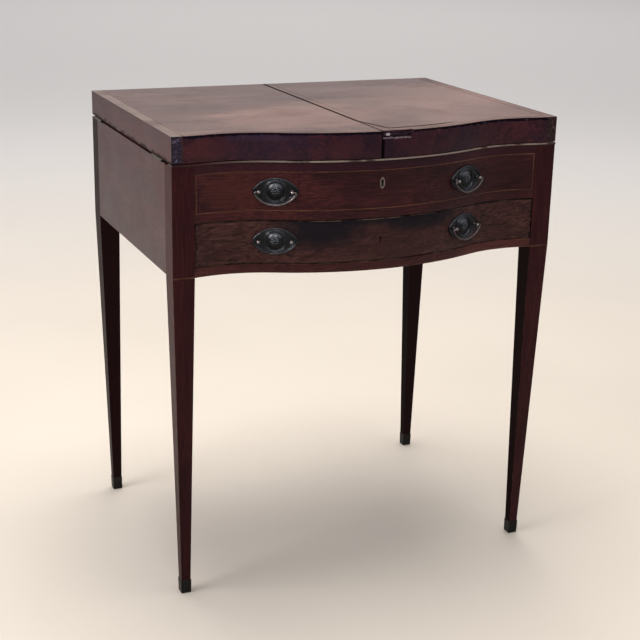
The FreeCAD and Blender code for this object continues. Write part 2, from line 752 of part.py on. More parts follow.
def front_boards():
    """The false drawer front with its stringing and keyhole, the rail below and the bead above."""
    string = cut("string_frame",
                 band("string_band", "0", "stringDepth", "stringHalf", "stringBottom", "stringTop"),
                 slab("string_field", ("-stringHalf + stringWidth", "stringHalf - stringWidth"),
                      ("frontPlane", "cornerPlane + legWidth"),
                      ("stringBottom + stringWidth", "stringTop - stringWidth")))
    part(string, "fascia_stringing")
    part(group("leg_strings", *leg_strings.values()), "leg_stringing")

    blank = band("fascia_blank", "0", "frontThickness", "legInner", "fasciaBottom", "beadBottom")
    drilled = cut("fascia_drilled", blank, front_holes("fascia_holes", "upperHandleHeight"))
    strung = cut("fascia_strung", drilled, string)
    pocket = escutcheon_oval("escutcheon_pocket", "overrun",
                             "overrun + escutcheonThickness - escutcheonProud")
    pocketed = cut("fascia_pocketed", strung, pocket)
    part(cut("fascia_keyed", pocketed, lid_keyhole), "front_fascia")
    plate = escutcheon_oval("escutcheon_plate", "escutcheonProud", "escutcheonThickness")
    part(cut("escutcheon_keyed", plate, lid_keyhole), "escutcheon")

    part(band("rail", "0", "railDepth", "legInner", "caseBottom", "railTop"), "drawer_rail")
    part(band("bead", "beadProjection", "frontThickness", "halfWidth", "beadBottom",
              "beadBottom + beadHeight", flats=True), "front_bead")


def case_boards():
    """The side and back panels and the floor of the well, which is also the drawer's kicker."""
    for name, side in SIDES.items():
        board = slab(f"{name}_side_board", mirrored(side, "sideInner", "halfWidth"),
                     ("cornerPlane + legWidth", "backPlane - legWidth"), ("caseBottom", "caseTop"))
        part(cut(f"{name}_side_drilled", board, case_screw_holes), f"{name}_side_panel")
    part(slab("back_board", ("-legInner", "legInner"), ("backInner", "backPlane"),
              ("caseBottom", "caseTop")), "back_panel")

    corners = [slab(f"floor_corner_{depth}_{side}", mirrored(side, "legInner", "halfWidth"),
                    leg_span(depth), ("fasciaBottom - overrun", "wellFloorTop + overrun"))
               for depth in (FRONT, BACK) for side in (LEFT, RIGHT)]
    sheet_region = slab("floor_sheet", ("-sideInner", "sideInner"), ("frontPlane", "backPlane"),
                        ("fasciaBottom", "wellFloorTop"))
    floor = cut("floor_notched", common("floor_blank", interior, sheet_region),
                group("floor_corners", *corners))
    mortise = slab("floor_mortise",
                   ("-boltPlace - boltWidth / 2 - mortiseClearance",
                    "-boltPlace + boltWidth / 2 + mortiseClearance"),
                   ("boltFront - mortiseClearance", "boltBack + mortiseClearance"),
                   ("fasciaBottom - overrun", "fasciaBottom + floorMortiseDepth"))
    part(cut("floor_mortised", floor, mortise), "well_floor")


def runners():
    """Drawer runners with their side guides, and the two stops on the rail."""
    for name, side in SIDES.items():
        strip = slab(f"{name}_runner_strip", mirrored(side, "legInner - runnerWidth", "legInner"),
                     ("frontPlane", "backInner"), ("caseBottom", "railTop"))
        strip = common(f"{name}_runner_trimmed", strip, behind_rail)
        guide = slab(f"{name}_guide", mirrored(side, "legInner", "sideInner"),
                     ("cornerPlane + legWidth", "backPlane - legWidth"),
                     ("caseBottom", "railTop + guideHeight"))
        part(fuse(f"{name}_runner_whole", strip, guide), f"{name}_drawer_runner")
    stops = [slab(f"stop_block_{side}",
                  mirrored(side, "stopPlace - stopWidth / 2", "stopPlace + stopWidth / 2"),
                  ("frontPlane", "stopFront + stopDepth"),
                  ("railTop", "railTop + stopHeight")) for side in (LEFT, RIGHT)]
    stop_region = plan("stop_region", "-(frontThickness + runnerClearance)", "legInner",
                       "caseBottom", "beadBottom")
    part(common("stops", group("stop_blocks", *stops), stop_region), "drawer_stops")


def drawer():
    """The drawer: a serpentine front, two sides, a back and a bottom."""
    blank = band("drawer_blank", "0", "frontThickness", "drawerHalf", "drawerFrontBottom",
                 "drawerTop")
    drilled = cut("drawer_drilled", blank, front_holes("drawer_holes", "lowerHandleHeight"))
    part(cut("drawer_keyed", drilled, drawer_keyhole), "drawer_front")
    for name, side in SIDES.items():
        board = slab(f"drawer_{name}_board", mirrored(side, "drawerSideInner", "drawerHalf"),
                     ("frontPlane", "drawerBack"), ("drawerSideBottom", "drawerTop"))
        part(common(f"drawer_{name}_trimmed", board, interior), f"drawer_{name}_side")
    board = slab("drawer_bottom_board", ("-drawerSideInner", "drawerSideInner"),
                 ("frontPlane", "drawerBack"), ("drawerBottomUnder", "drawerBottomTop"))
    part(common("drawer_bottom_trimmed", board, interior), "drawer_bottom")
    part(slab("drawer_back_board", ("-drawerSideInner", "drawerSideInner"),
              ("drawerBack - drawerSideThickness", "drawerBack"),
              ("drawerBottomTop", "drawerTop")), "drawer_back")


def well_fittings():
    """Partitions of the well. The two long ones also stop the closed leaves."""
    boards = [slab(f"partition_board_{side}",
                   mirrored(side, "bayHalf", "partitionPlace + partitionThickness / 2"),
                   ("frontPlane", "backPlane"), ("wellFloorTop", "partitionTop"))
              for side in (LEFT, RIGHT)]
    trimmed = common("partitions_trimmed", group("partition_boards", *boards), interior)
    pin_holes = cylinder("mirror_pin_holes", "mirrorPinRadius + screwClearance",
                         "2 * (partitionPlace + partitionThickness)",
                         "-(partitionPlace + partitionThickness)", "mirrorFront + mirrorPinInset",
                         "mirrorPinHeight", ACROSS)
    part(cut("partitions_drilled", trimmed, pin_holes), "well_partitions")
    cross = [slab(f"cross_partition_{side}",
                  mirrored(side, "partitionPlace + partitionThickness / 2", "sideInner"),
                  ("cornerPlane + crossPartitionPlace",
                   "cornerPlane + crossPartitionPlace + crossPartitionThickness"),
                  ("wellFloorTop", "wellFloorTop + crossPartitionHeight"))
             for side in (LEFT, RIGHT)]
    part(group("cross_boards", *cross), "cross_partitions")


def dressing_glass():
    """The framed mirror that lies face up in the middle bay, its pins, racks and strut."""
    pin_x = ("-mirrorHalf - mirrorClearance", "mirrorHalf + mirrorClearance - mirrorPinLength")
    outer = slab("mirror_outer", ("-mirrorHalf", "mirrorHalf"), ("mirrorFront", "mirrorBack"),
                 ("mirrorUnder", "mirrorTop"))
    sight = slab("mirror_sight", ("-mirrorHalf + mirrorFrameWidth", "mirrorHalf - mirrorFrameWidth"),
                 ("mirrorFront + mirrorFrameWidth", "mirrorBack - mirrorFrameWidth"),
                 ("mirrorUnder - overrun", "mirrorTop + overrun"))
    edge = "mirrorFrameWidth - mirrorRebate"
    rebate = slab("mirror_rebate", (f"-mirrorHalf + {edge}", f"mirrorHalf - ({edge})"),
                  (f"mirrorFront + {edge}", f"mirrorBack - ({edge})"),
                  ("mirrorUnder - overrun", "mirrorTop - mirrorLip"))
    holes = [cylinder(f"mirror_frame_hole_{x}", "mirrorPinRadius + pinClearance",
                      "mirrorPinLength + pinClearance", start, "mirrorFront + mirrorPinInset",
                      "mirrorPinHeight", ACROSS)
             for x, start in enumerate(("-mirrorHalf - mirrorClearance",
                                        "mirrorHalf + mirrorClearance - mirrorPinLength - pinClearance"))]
    frame = cut("mirror_frame_blank", outer, fuse("mirror_openings", sight, rebate))
    part(cut("mirror_frame_drilled", frame, group("mirror_frame_holes", *holes)), "mirror_frame")
    pins = [cylinder(f"mirror_pin_{x}", "mirrorPinRadius", "mirrorPinLength", start,
                     "mirrorFront + mirrorPinInset", "mirrorPinHeight", ACROSS)
            for x, start in enumerate(pin_x)]
    part(group("mirror_pins", *pins), "mirror_pivot_pins")

    inset = f"{edge} + rebateClearance"
    flat_x = (f"-mirrorHalf + {inset}", f"mirrorHalf - ({inset})")
    flat_y = (f"mirrorFront + {inset}", f"mirrorBack - ({inset})")
    glass_top = "mirrorTop - mirrorLip"
    part(slab("mirror_glass_sheet", flat_x, flat_y, (f"{glass_top} - glassThickness", glass_top)),
         "mirror_glass")
    part(slab("mirror_board", flat_x, flat_y,
              (f"{glass_top} - glassThickness - backboardThickness", f"{glass_top} - glassThickness")),
         "mirror_backboard")

    racks = []
    for name, side in SIDES.items():
        rack = slab(f"{name}_rack_bar", mirrored(side, "bayHalf - ratchetWidth", "bayHalf"),
                    ("cornerPlane + ratchetPlace", "cornerPlane + ratchetPlace + ratchetLength"),
                    ("mirrorUnder - runnerClearance - ratchetHeight", "mirrorUnder - runnerClearance"))
        notches = []
        for count in range(1, int(value("ratchetLength / ratchetPitch"))):
            start = f"cornerPlane + ratchetPlace + {count} * ratchetPitch"
            notches.append(slab(f"{name}_notch_{count}",
                                mirrored(side, "bayHalf - ratchetWidth - overrun", "bayHalf + overrun"),
                                (start, f"{start} + ratchetNotchWidth"),
                                ("mirrorUnder - runnerClearance - ratchetNotchDepth",
                                 "mirrorUnder + overrun")))
        racks.append(cut(f"{name}_rack", rack, group(f"{name}_notches", *notches)))
    part(group("racks", *racks), "mirror_ratchet_racks")

    reach = "bayHalf - ratchetWidth - strutClearance"
    strut_top = "mirrorUnder - runnerClearance"
    bar_y = ("cornerPlane + strutPlace", "cornerPlane + strutPlace + strutLength")
    strut = slab("strut_board", (f"-({reach})", reach), bar_y, (f"{strut_top} - strutThickness", strut_top))
    hollow = slab("strut_hollow", (f"-({reach}) + strutBarWidth", f"{reach} - strutBarWidth"),
                  (f"{bar_y[0]} + strutBarWidth", f"{bar_y[1]} - strutBarWidth"),
                  (f"{strut_top} - strutThickness - overrun", f"{strut_top} + overrun"))
    part(cut("strut_open", strut, hollow), "mirror_strut")


def lock_case(label, top, keyhole_shape, name):
    """A box lock on the back of a serpentine board, open at the top for its bolt."""
    box = slab(f"{label}_box", ("-boltPlace - lockWidth / 2", "-boltPlace + lockWidth / 2"),
               ("frontPlane", "lockBack"), (f"{top} - lockHeight", top))
    slot = slab(f"{label}_slot",
                ("-boltPlace - boltWidth / 2 - boltClearance", "-boltPlace + boltWidth / 2 + boltClearance"),
                ("boltFront - boltClearance", "boltBack + boltClearance"),
                (f"{top} - boltLength", f"{top} + overrun"))
    hollowed = cut(f"{label}_slotted", common(f"{label}_seated", box, interior), slot)
    part(cut(f"{label}_keyed", hollowed, keyhole_shape), name)


def lock_bolt(label, bottom, top, name):
    """A lock bolt, drawn down at rest."""
    part(slab(label, ("-boltPlace - boltWidth / 2", "-boltPlace + boltWidth / 2"),
              ("boltFront", "boltBack"), (bottom, top)), name)


def locks():
    """The case lock that holds the left leaf, and the drawer lock."""
    lock_case("lid_lock", "lidLockTop", lid_keyhole, "lid_lock_case")
    lock_bolt("lid_bolt", "lidLockTop - boltLength + boltClearance", "caseTop", "lid_lock_bolt")
    lock_case("drawer_lock", "drawerLockTop", drawer_keyhole, "drawer_lock_case")
    lock_bolt("drawer_bolt", "drawerLockTop - boltLength + boltClearance",
              "drawerTop - boltClearance", "drawer_lock_bolt")


def hinge_places():
    """Return the low y of the front and the back hinge."""
    return {"front": "cornerPlane + frontHingePlace", "back": "backPlane - backHingePlace - hingeLength"}


def screws(label, side, upwards, grow="0", longer="0"):
    """Add three countersunk screws in each hinge leaf on one side, or their holes."""
    made = []
    face = "lidBottom - hingeLeafThickness" if upwards else "caseTop + hingeLeafThickness"
    turn = None if upwards else DOWN
    sign = "+" if upwards else "-"
    for name, start in hinge_places().items():
        for step in (-1, 0, 1):
            y = f"{start} + hingeLength / 2 + {step} * screwSpacing"
            x = f"{side} * screwPlace"
            head = add("Part::Cone", f"{label}_{name}_head_{step}")
            bind(head, Radius1=f"screwHeadRadius + ({grow})", Radius2=f"screwRadius + ({grow})",
                 Height="hingeLeafThickness")
            place(head, x, y, face, turn)
            shank = cylinder(f"{label}_{name}_shank_{step}", f"screwRadius + ({grow})",
                             f"screwLength + ({longer})", x, y,
                             f"{face} {sign} hingeLeafThickness", turn)
            made.append(fuse(f"{label}_{name}_{step}", head, shank))
    return group(label, *made)


def hinge_leaves(label, side, upwards):
    """Add the two hinge leaves on one side that belong to the case, or to the leaf of the top."""
    leaves = []
    low, high = ("lidBottom - hingeLeafThickness", "lidBottom") if upwards else (
        "caseTop", "caseTop + hingeLeafThickness")
    mine = (1, 3) if upwards else (0, 2, 4)
    for name, start in hinge_places().items():
        pieces = [slab(f"{label}_{name}_plate", mirrored(side, "hingeLeafEnd", "hingeLeafStart"),
                       (start, f"{start} + hingeLength"), (low, high))]
        for knuckle in mine:
            first = f"{start} + {knuckle} * knuckleLength"
            if knuckle:
                first = f"{first} + knuckleGap / 2"
            last = f"{start} + {knuckle + 1} * knuckleLength"
            if knuckle < 4:
                last = f"{last} - knuckleGap / 2"
            pieces.append(cylinder(f"{label}_{name}_knuckle_{knuckle}", "knuckleRadius",
                                   f"({last}) - ({first})", f"{side} * hingeAxisPlace", first,
                                   "hingeAxisHeight", TO_BACK))
            pieces.append(slab(f"{label}_{name}_web_{knuckle}",
                               mirrored(side, "hingeLeafStart", "hingeAxisPlace"),
                               (first, last), (low, high)))
        bore = cylinder(f"{label}_{name}_bore", "pinRadius + pinClearance", "hingeLength + 2 * overrun",
                        f"{side} * hingeAxisPlace", f"{start} - overrun", "hingeAxisHeight", TO_BACK)
        leaves.append(cut(f"{label}_{name}", fuse(f"{label}_{name}_solid", *pieces), bore))
    holes = screws(f"{label}_holes", side, upwards, "screwClearance")
    return cut(f"{label}_drilled", group(f"{label}_pair", *leaves), holes)


def hinges():
    """Four butt hinges: leaves, pins and countersunk screws."""
    part(group("case_leaves", *[hinge_leaves(f"case_leaf_{side}", side, False)
                                for side in (LEFT, RIGHT)]), "hinge_case_leaves")
    part(group("case_screws", *[screws(f"case_screw_{side}", side, False)
                                for side in (LEFT, RIGHT)]), "hinge_case_screws")
    pins = [cylinder(f"hinge_pin_{name}_{side}", "pinRadius", "hingeLength",
                     f"{side} * hingeAxisPlace", start, "hingeAxisHeight", TO_BACK)
            for name, start in hinge_places().items() for side in (LEFT, RIGHT)]
    part(group("pins", *pins), "hinge_pins")
    for name, side in SIDES.items():
        part(hinge_leaves(f"{name}_lid_leaf", side, True), f"{name}_lid_hinge_leaves")
        part(screws(f"{name}_lid_screw", side, True), f"{name}_lid_hinge_screws")


def leaves():
    """The two leaves of the top: a core, a serpentine lipping and a cleat along the hinges.

    They meet at a seam that lies a little to the left of the middle.
    """
    outline = plan("lid_outline", "0", "halfWidth", "lidBottom", "tableHeight", "backPlane", True)
    inner = plan("lid_inner", "-lippingWidth", "halfWidth", "lidBottom", "tableHeight", "backPlane",
                 True)
    lipping = cut("lid_lipping_whole", outline, inner)
    bolt_x = ("-boltPlace - boltWidth / 2 - mortiseClearance",
              "-boltPlace + boltWidth / 2 + mortiseClearance")
    bolt_y = ("boltFront - mortiseClearance", "boltBack + mortiseClearance")
    mortise = slab("lid_mortise", bolt_x, bolt_y, ("lidBottom - overrun", "lidBottom + mortiseDepth"))
    strike_x = ("-boltPlace - strikeWidth / 2", "-boltPlace + strikeWidth / 2")
    strike_y = ("boltMiddle - strikeDepth / 2", "boltMiddle + strikeDepth / 2")
    strike_pocket = slab("strike_pocket", strike_x, strike_y,
                         ("lidBottom - overrun", "lidBottom + strikeThickness"))
    for name, side in SIDES.items():
        deep = ("frontPlane", "backPlane")
        high = ("lidBottom", "tableHeight")
        seam_side = f"seamGap / 2 - ({side}) * seamPlace"
        middle = slab(f"{name}_lid_middle", mirrored(side, seam_side, "halfWidth - cleatWidth"),
                      deep, high)
        core = common(f"{name}_lid_blank", inner, middle)
        if side == LEFT:
            core = cut("left_lid_mortised", core, fuse("lid_pocket", mortise, strike_pocket))
        part(core, f"{name}_lid_core")
        part(common(f"{name}_lid_edge", lipping, middle), f"{name}_lid_front_lipping")
        cleat = slab(f"{name}_lid_side", mirrored(side, "halfWidth - cleatWidth", "halfWidth"),
                     ("cornerPlane", "backPlane"), high)
        holes = screws(f"{name}_cleat_holes", side, True, "screwClearance", "overrun / 4")
        part(cut(f"{name}_lid_cleat_drilled", cleat, holes), f"{name}_lid_side_cleat")
    plate = slab("strike_blank", strike_x, strike_y, ("lidBottom", "lidBottom + strikeThickness"))
    part(cut("strike_slotted", plate, mortise), "lid_lock_strike_plate")


def save_parts():
    """Check every object and write each piece to its own file."""
    doc.recompute()
    for made in doc.Objects:
        if {"Invalid", "Error"} & set(made.State):
            raise RuntimeError(f"{made.Label} failed: {made.State}")
    os.makedirs("parts", exist_ok=True)
    for piece in parts:
        if piece.Shape.isNull() or not piece.Shape.isValid() or not piece.Shape.Solids:
            raise RuntimeError(f"{piece.Label} has no valid solid")
        piece.Shape.exportStep(f"parts/{piece.Label}.step")


leg_strings = {side: leg_string(side) for side in (LEFT, RIGHT)}
case_screw_holes = group("case_screw_holes", *[screws(f"case_hole_{side}", side, False,
                                                      "screwClearance", "overrun / 4")
                                               for side in (LEFT, RIGHT)])
wood_region = plan("wood_region", "0", "legInner", "caseBottom", "beadBottom")
rim_band = cut("rim_band", plan("rim_region", "plateThickness + plateRimHeight", "legInner",
                                "caseBottom", "beadBottom"), wood_region)
behind_rail = plan("behind_rail", "-railDepth", "legInner", "caseBottom", "railTop")
key_depth = "frontThickness + lockDepth / 2 + overrun"
lid_keyhole = keyhole("lid_keyhole", "-keyholePlace", "frontPlane - overrun", "keyholeHeight",
                      key_depth)
drawer_keyhole = keyhole("drawer_keyhole", "-keyholePlace", "frontPlane - overrun",
                         "lowerHandleHeight - lowerHandleRise", key_depth)

legs()
front_boards()
case_boards()
runners()
drawer()
well_fittings()
dressing_glass()
locks()
handles()
hinges()
leaves()
save_parts()
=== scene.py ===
"""Finishes for a serpentine mahogany dressing table, laid over its construction model.

Metres. +X is to the right of someone in front, +Y runs to the back and +Z is up.
"""

import json
import math
from typing import NamedTuple

import bmesh
import bpy
from mathutils import Matrix, Vector, noise

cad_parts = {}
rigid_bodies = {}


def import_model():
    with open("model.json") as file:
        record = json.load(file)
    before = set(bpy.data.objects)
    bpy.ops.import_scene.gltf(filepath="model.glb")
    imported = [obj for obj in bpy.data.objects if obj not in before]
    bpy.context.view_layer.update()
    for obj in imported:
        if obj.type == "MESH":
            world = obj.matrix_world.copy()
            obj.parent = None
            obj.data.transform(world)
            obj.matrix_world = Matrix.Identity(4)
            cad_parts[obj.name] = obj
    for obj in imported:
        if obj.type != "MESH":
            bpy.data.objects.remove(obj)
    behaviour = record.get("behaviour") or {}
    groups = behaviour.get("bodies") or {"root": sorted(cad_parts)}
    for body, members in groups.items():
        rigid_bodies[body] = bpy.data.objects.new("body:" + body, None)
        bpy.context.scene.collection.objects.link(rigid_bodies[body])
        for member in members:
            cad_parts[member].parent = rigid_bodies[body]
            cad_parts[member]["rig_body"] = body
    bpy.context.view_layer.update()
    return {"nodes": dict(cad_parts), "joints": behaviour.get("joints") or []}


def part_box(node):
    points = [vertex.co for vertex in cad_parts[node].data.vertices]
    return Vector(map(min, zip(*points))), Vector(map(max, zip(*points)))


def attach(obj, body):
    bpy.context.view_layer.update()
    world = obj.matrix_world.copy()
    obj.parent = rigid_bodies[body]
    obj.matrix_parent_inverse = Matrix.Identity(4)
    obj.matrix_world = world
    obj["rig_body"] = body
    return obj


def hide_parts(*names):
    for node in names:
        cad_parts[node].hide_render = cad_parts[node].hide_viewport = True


bl_info = {
    "name": "Dressing table finishes",
    "version": (1, 0, 0),
    "blender": (4, 5, 0),
    "location": "3D View > Sidebar > Table",
    "description": "Worn arrises, wood, brass and studio for a serpentine dressing table",
    "category": "Object",
}

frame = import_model()

ACROSS, DEEP, UP = range(3)
SIDES = {"left": -1, "right": 1}

LEGS = tuple(f"{end}_{side}_leg" for end in ("front", "back") for side in SIDES)
LID_WOOD = tuple(f"{side}_lid_{part}" for side in SIDES for part in ("core", "front_lipping", "side_cleat"))
FINE_WOOD = ("foot_caps", "well_partitions", "cross_partitions", "mirror_frame", "mirror_strut",
             "drawer_left_side", "drawer_right_side", "drawer_back")
PLATES = ("upper_left", "upper_right", "lower_left", "lower_right")
BAILS = ("upper_left", "upper_right", "lower_right")

# Edges of the construction model that the finishes follow, and the seam between the leaves.
LIPPING_LOW, LIPPING_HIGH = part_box("right_lid_front_lipping")
FRONT, LEAF_UNDERSIDE, LEAF_TOP = LIPPING_LOW.y, LIPPING_LOW.z, LIPPING_HIGH.z
SEAM = (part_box("left_lid_front_lipping")[1].x + LIPPING_LOW.x) / 2
CLEAT_JOINT, LEAF_SIDE = (corner.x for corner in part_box("right_lid_side_cleat"))
DRAWER_LOW, DRAWER_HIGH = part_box("drawer_front")
FASCIA_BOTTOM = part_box("front_fascia")[0].z
STRINGING_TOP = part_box("fascia_stringing")[1].z
BEAD_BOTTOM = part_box("front_bead")[0].z

# The serpentine line: a bulging arc that meets a hollow one on either side.
BULGE_RADIUS, HOLLOW_RADIUS, HOLLOW_PLACE, MEETING = 0.48347, 0.21975, 0.275, 0.189065
# The handles: the posts' place and standoff, the round boss's top and sphere, and the plate's outline.
POST_PLACE, POST_STANDOFF, BOSS_TOP, BOSS_SPHERE = 0.02825, 0.01, 0.0066, 0.020521
PLATE_TIP, PLATE_CROWN, PLATE_ARC = 0.01025, 0.02325, 0.047443
# The rosette on each boss: how many petals it has, where they lie and how far they are let in.
PETALS, PETAL_PLACE, PETAL_SINK = 10, 0.0052, 0.0002
# A petal: half its length, width and thickness, and the share by which it widens outwards.
PETAL_LENGTH, PETAL_WIDTH, PETAL_RISE, PETAL_WIDENING = 0.0026, 0.0014, 0.0008, 0.28

# Wires raised on each plate: two inside its edge, three rings on the boss and one round the rosette's middle.
# Each has its place, which is an inset or a reach from the middle, its rise and its radius.
EDGE_WIRES = ((0.0012, 0.0021, 0.0008), (0.0036, 0.0012, 0.00045))
RING_WIRES = ((0.0202, 0.0013, 0.0006), (0.0182, 0.0015, 0.0009), (0.0162, 0.0014, 0.0005))
EYE_REACH, EYE_RADIUS = 0.0024, 0.0005

# Places on the fronts: a fine crack, the inner edges of the end grain blocks, and half sizes at the keyhole:
# of its painted shadow and of its bone.
CRACK_PLACE = -0.152
END_BLOCKS = {"left": 0.3475, "right": 0.34}
KEYHOLE_SHADOW, KEYHOLE_BONE = (0.0037, 0.0091), (0.0051, 0.0108)
# Places on top: the painted highlight's middle and reach, and the line that leaves the seam and then follows
# the front.
HIGHLIGHT_MIDDLE, HIGHLIGHT_REACH = (-0.09, -0.11), (0.17, 0.14)
LINE_START, LINE_ASIDE, LINE_BEHIND = -0.176, 0.0225, 0.027

# Shares of the usual arris: on the rail, the false front, the drawer front, fine pieces and the chipped leaf.
RAIL_SHARE, FASCIA_SHARE, DRAWER_SHARE, FINE_SHARE, CHIP_SHARE = 0.6, 0.5, 0.8, 0.5, 0.7
# Points of a mesh that lie this close are one point.
WELD_DISTANCE = 0.00001
# Degrees: an arris of the wood turns by more, so does one of a front's outline, and a smooth edge by less.
ARRIS_ANGLE, OUTLINE_ANGLE, SMOOTH_ANGLE = 40, 50, 24

# The camera: its place, its turns in degrees, and its focal length in pixels of an image so wide.
CAMERA_PLACE = (-1.0066, -2.34125, 1.2405)
CAMERA_YAW, CAMERA_PITCH, CAMERA_ROLL = 23.402, 17.88, 1.263
FOCAL_PIXELS, IMAGE_PIXELS, SENSOR_WIDTH = 1364.0, 640, 36.0
FLOOR_RADIUS = 40.0
AIR_STRENGTH = 0.45

# Woods, each from its darkest to its palest streaks.
DRAWER_TONES = ((0.0125, 0.0044, 0.005), (0.0445, 0.0143, 0.0132), (0.086, 0.034, 0.0275))
RAIL_TONES = ((0.019, 0.0045, 0.0045), (0.051, 0.013, 0.0125), (0.095, 0.028, 0.022))
FLAME_TONES = ((0.009, 0.0018, 0.0055), (0.027, 0.0055, 0.0115), (0.07, 0.017, 0.0225))
END_TONES = {"left": ((0.007, 0.0053, 0.0115), (0.021, 0.0155, 0.029), (0.085, 0.068, 0.105)),
             "right": ((0.008, 0.0035, 0.0045), (0.022, 0.009, 0.0105), (0.05, 0.03, 0.028))}
TORN_TONES = ((0.008, 0.003, 0.006), (0.022, 0.009, 0.016), (0.06, 0.034, 0.045))
INNER_TONES = ((0.04, 0.013, 0.008), (0.11, 0.04, 0.022), (0.2, 0.085, 0.045))
OAK_SHARES = (0.5, 1.0, 1.35)
LINING_TINT, BACKBOARD_TINT = (1.0, 1.0, 1.0), (0.52, 0.4, 0.38)

# The front and the bead over it. The front's second colour is painted shade under the bead, and its fifth a
# painted shadow line along its foot.
FASCIA_RED, FASCIA_PAINTED_SHADE, FASCIA_RIGHT = (0.09, 0.025, 0.016), (0.024, 0.0055, 0.012), (0.026, 0.005, 0.005)
FASCIA_CRACK, FASCIA_PAINTED_SHADOW_LINE = (0.008, 0.003, 0.003), (0.004, 0.002, 0.002)
# The bead's painted highlight along its front, and its painted shade below.
BEAD_PAINTED_HIGHLIGHT, BEAD_PAINTED_SHADE = (0.26, 0.2, 0.17), (0.01, 0.004, 0.005)
# The drawer front.
DRAWER_PORES, DRAWER_SPLITS = (0.009, 0.0045, 0.0035), (0.006, 0.0024, 0.0024)
DRAWER_RIDGES, DRAWER_BROWN = (0.105, 0.048, 0.037), (0.034, 0.011, 0.011)
# The drawer's last colour is painted shadow along its top and bottom edges.
DRAWER_INK, DRAWER_END, DRAWER_PAINTED_SHADOW_LINE = (0.0035, 0.0028, 0.0058), (0.004, 0.0022, 0.0022), (0.005, 0.003, 0.003)
# Sides, legs and the small pieces of the case.
SIDE_BLOOM = (0.05, 0.03, 0.027)
# The legs' second colour is painted shade, and the third painted shadow.
LEG_SPECKS, LEG_PAINTED_SHADE, LEG_PAINTED_SHADOW = (0.01, 0.004, 0.004), (0.0085, 0.0018, 0.0024), (0.003, 0.0012, 0.0014)
STRING_DARK, STRING_PALE, STRING_DIRT = (0.04, 0.012, 0.006), (0.17, 0.075, 0.035), (0.035, 0.01, 0.007)
# The bone's dark grain, the painted shadow in its hole, and the old polish over its edge.
BONE_DARK, BONE_PAINTED_SHADOW, BONE_EDGE = (0.16, 0.1, 0.055), (0.01, 0.008, 0.007), (0.034, 0.0078, 0.0082)
CAP_DARK, CAP_PALE, CAP_WORN = (0.006, 0.0055, 0.0055), (0.022, 0.019, 0.018), (0.14, 0.12, 0.1)
# The leaves' tops: painted sheen, a painted highlight and painted shade, then stains and scratches.
TOP_PAINTED_SHEEN, TOP_PAINTED_HIGHLIGHT, TOP_PAINTED_SHADE = (0.185, 0.105, 0.087), (0.25, 0.13, 0.1), (0.045, 0.025, 0.022)
TOP_STAIN, TOP_SCRATCH = (0.036, 0.019, 0.017), (0.26, 0.18, 0.15)
# The line ruled on the right leaf, and the painted shade beside the seam.
STRIP_LINE, SEAM_PAINTED_SHADE = (0.016, 0.008, 0.008), (0.005, 0.0025, 0.0025)
# The leaves' front edges.
FLAME_RED, FLAME_DARK = (0.056, 0.0115, 0.0155), (0.014, 0.0045, 0.0135)
FEATHER_RED, FEATHER_DARK = (0.078, 0.0175, 0.0215), (0.01, 0.003, 0.0075)
EDGE_RED, EDGE_BLOOM = (0.092, 0.0205, 0.022), (0.045, 0.035, 0.07)
EDGE_PURPLE, EDGE_DARK = (0.021, 0.0085, 0.0215), (0.016, 0.0035, 0.0105)
CORNER_WORN, ARRIS_DIRT, ARRIS_NICKS = (0.06, 0.037, 0.034), (0.0035, 0.002, 0.006), (0.06, 0.05, 0.075)
# The cleats and their ends.
CLEAT_BLOOM, CLEAT_JOINT_DIRT = (0.15, 0.115, 0.1), (0.03, 0.017, 0.015)
CLEAT_EDGE, CLEAT_NICKS = (0.02, 0.011, 0.01), (0.012, 0.008, 0.009)
# The chip's torn wood, painted lighter where its ledge faces up, and its one bright splinter.
TORN_PALE, SPLINTER = (0.105, 0.078, 0.09), (0.46, 0.41, 0.42)
# Glass and metals.
SILVERING, FOXING = (0.8, 0.83, 0.81), (0.16, 0.14, 0.11)
BAIL_DIRT, BAIL_BRIGHT = (0.07, 0.06, 0.061), (0.24, 0.2, 0.195)
POST_DIRT, POST_BRIGHT = (0.17, 0.145, 0.145), (0.5, 0.44, 0.43)
IRON_DIRT, IRON_BRIGHT = (0.02, 0.016, 0.013), (0.14, 0.13, 0.12)
# The glow that the far floor gives itself, so that it runs into the air without a line.
FAR_GLOW = (0.043, 0.053, 0.07)


class Stain(NamedTuple):
    """A ragged patch on the front: its middle, half its width and height, its edge, strength and colour."""

    x: float
    z: float
    across: float
    up: float
    ragged: float
    soft: float
    strength: float
    colour: tuple
    rough: float = 0.0


FASCIA_STAIN = Stain(-0.262, 0.742, 0.06, 0.04, 1.2, 0.3, 0.25, FASCIA_RED)
DRAWER_STAINS = (
    Stain(-0.02, 0.655, 0.16, 0.06, 0.5, 0.3, 0.5, DRAWER_BROWN),
    Stain(-0.116, 0.674, 0.075, 0.036, 0.7, 0.75, 0.92, DRAWER_INK, 0.12),
    Stain(0.075, 0.684, 0.085, 0.022, 0.7, 0.75, 0.92, DRAWER_INK, 0.12),
    Stain(-0.02, 0.692, 0.16, 0.013, 0.7, 0.75, 0.92, DRAWER_INK, 0.12),
)
EDGE_STAINS = (
    Stain(-0.3, 0.815, 0.05, 0.022, 0.9, 0.5, 0.4, EDGE_RED),
    Stain(-0.072, 0.815, 0.036, 0.022, 0.9, 0.5, 0.4, EDGE_RED),
    Stain(-0.215, 0.831, 0.06, 0.006, 0.5, 0.5, 0.35, EDGE_BLOOM),
    Stain(-0.2, 0.815, 0.09, 0.05, 0.9, 0.6, 0.55, EDGE_PURPLE),
    *(Stain(x, 0.815, 0.07, 0.04, 0.8, 0.6, 0.5, EDGE_DARK) for x in (-0.045, 0.035, 0.16)),
)
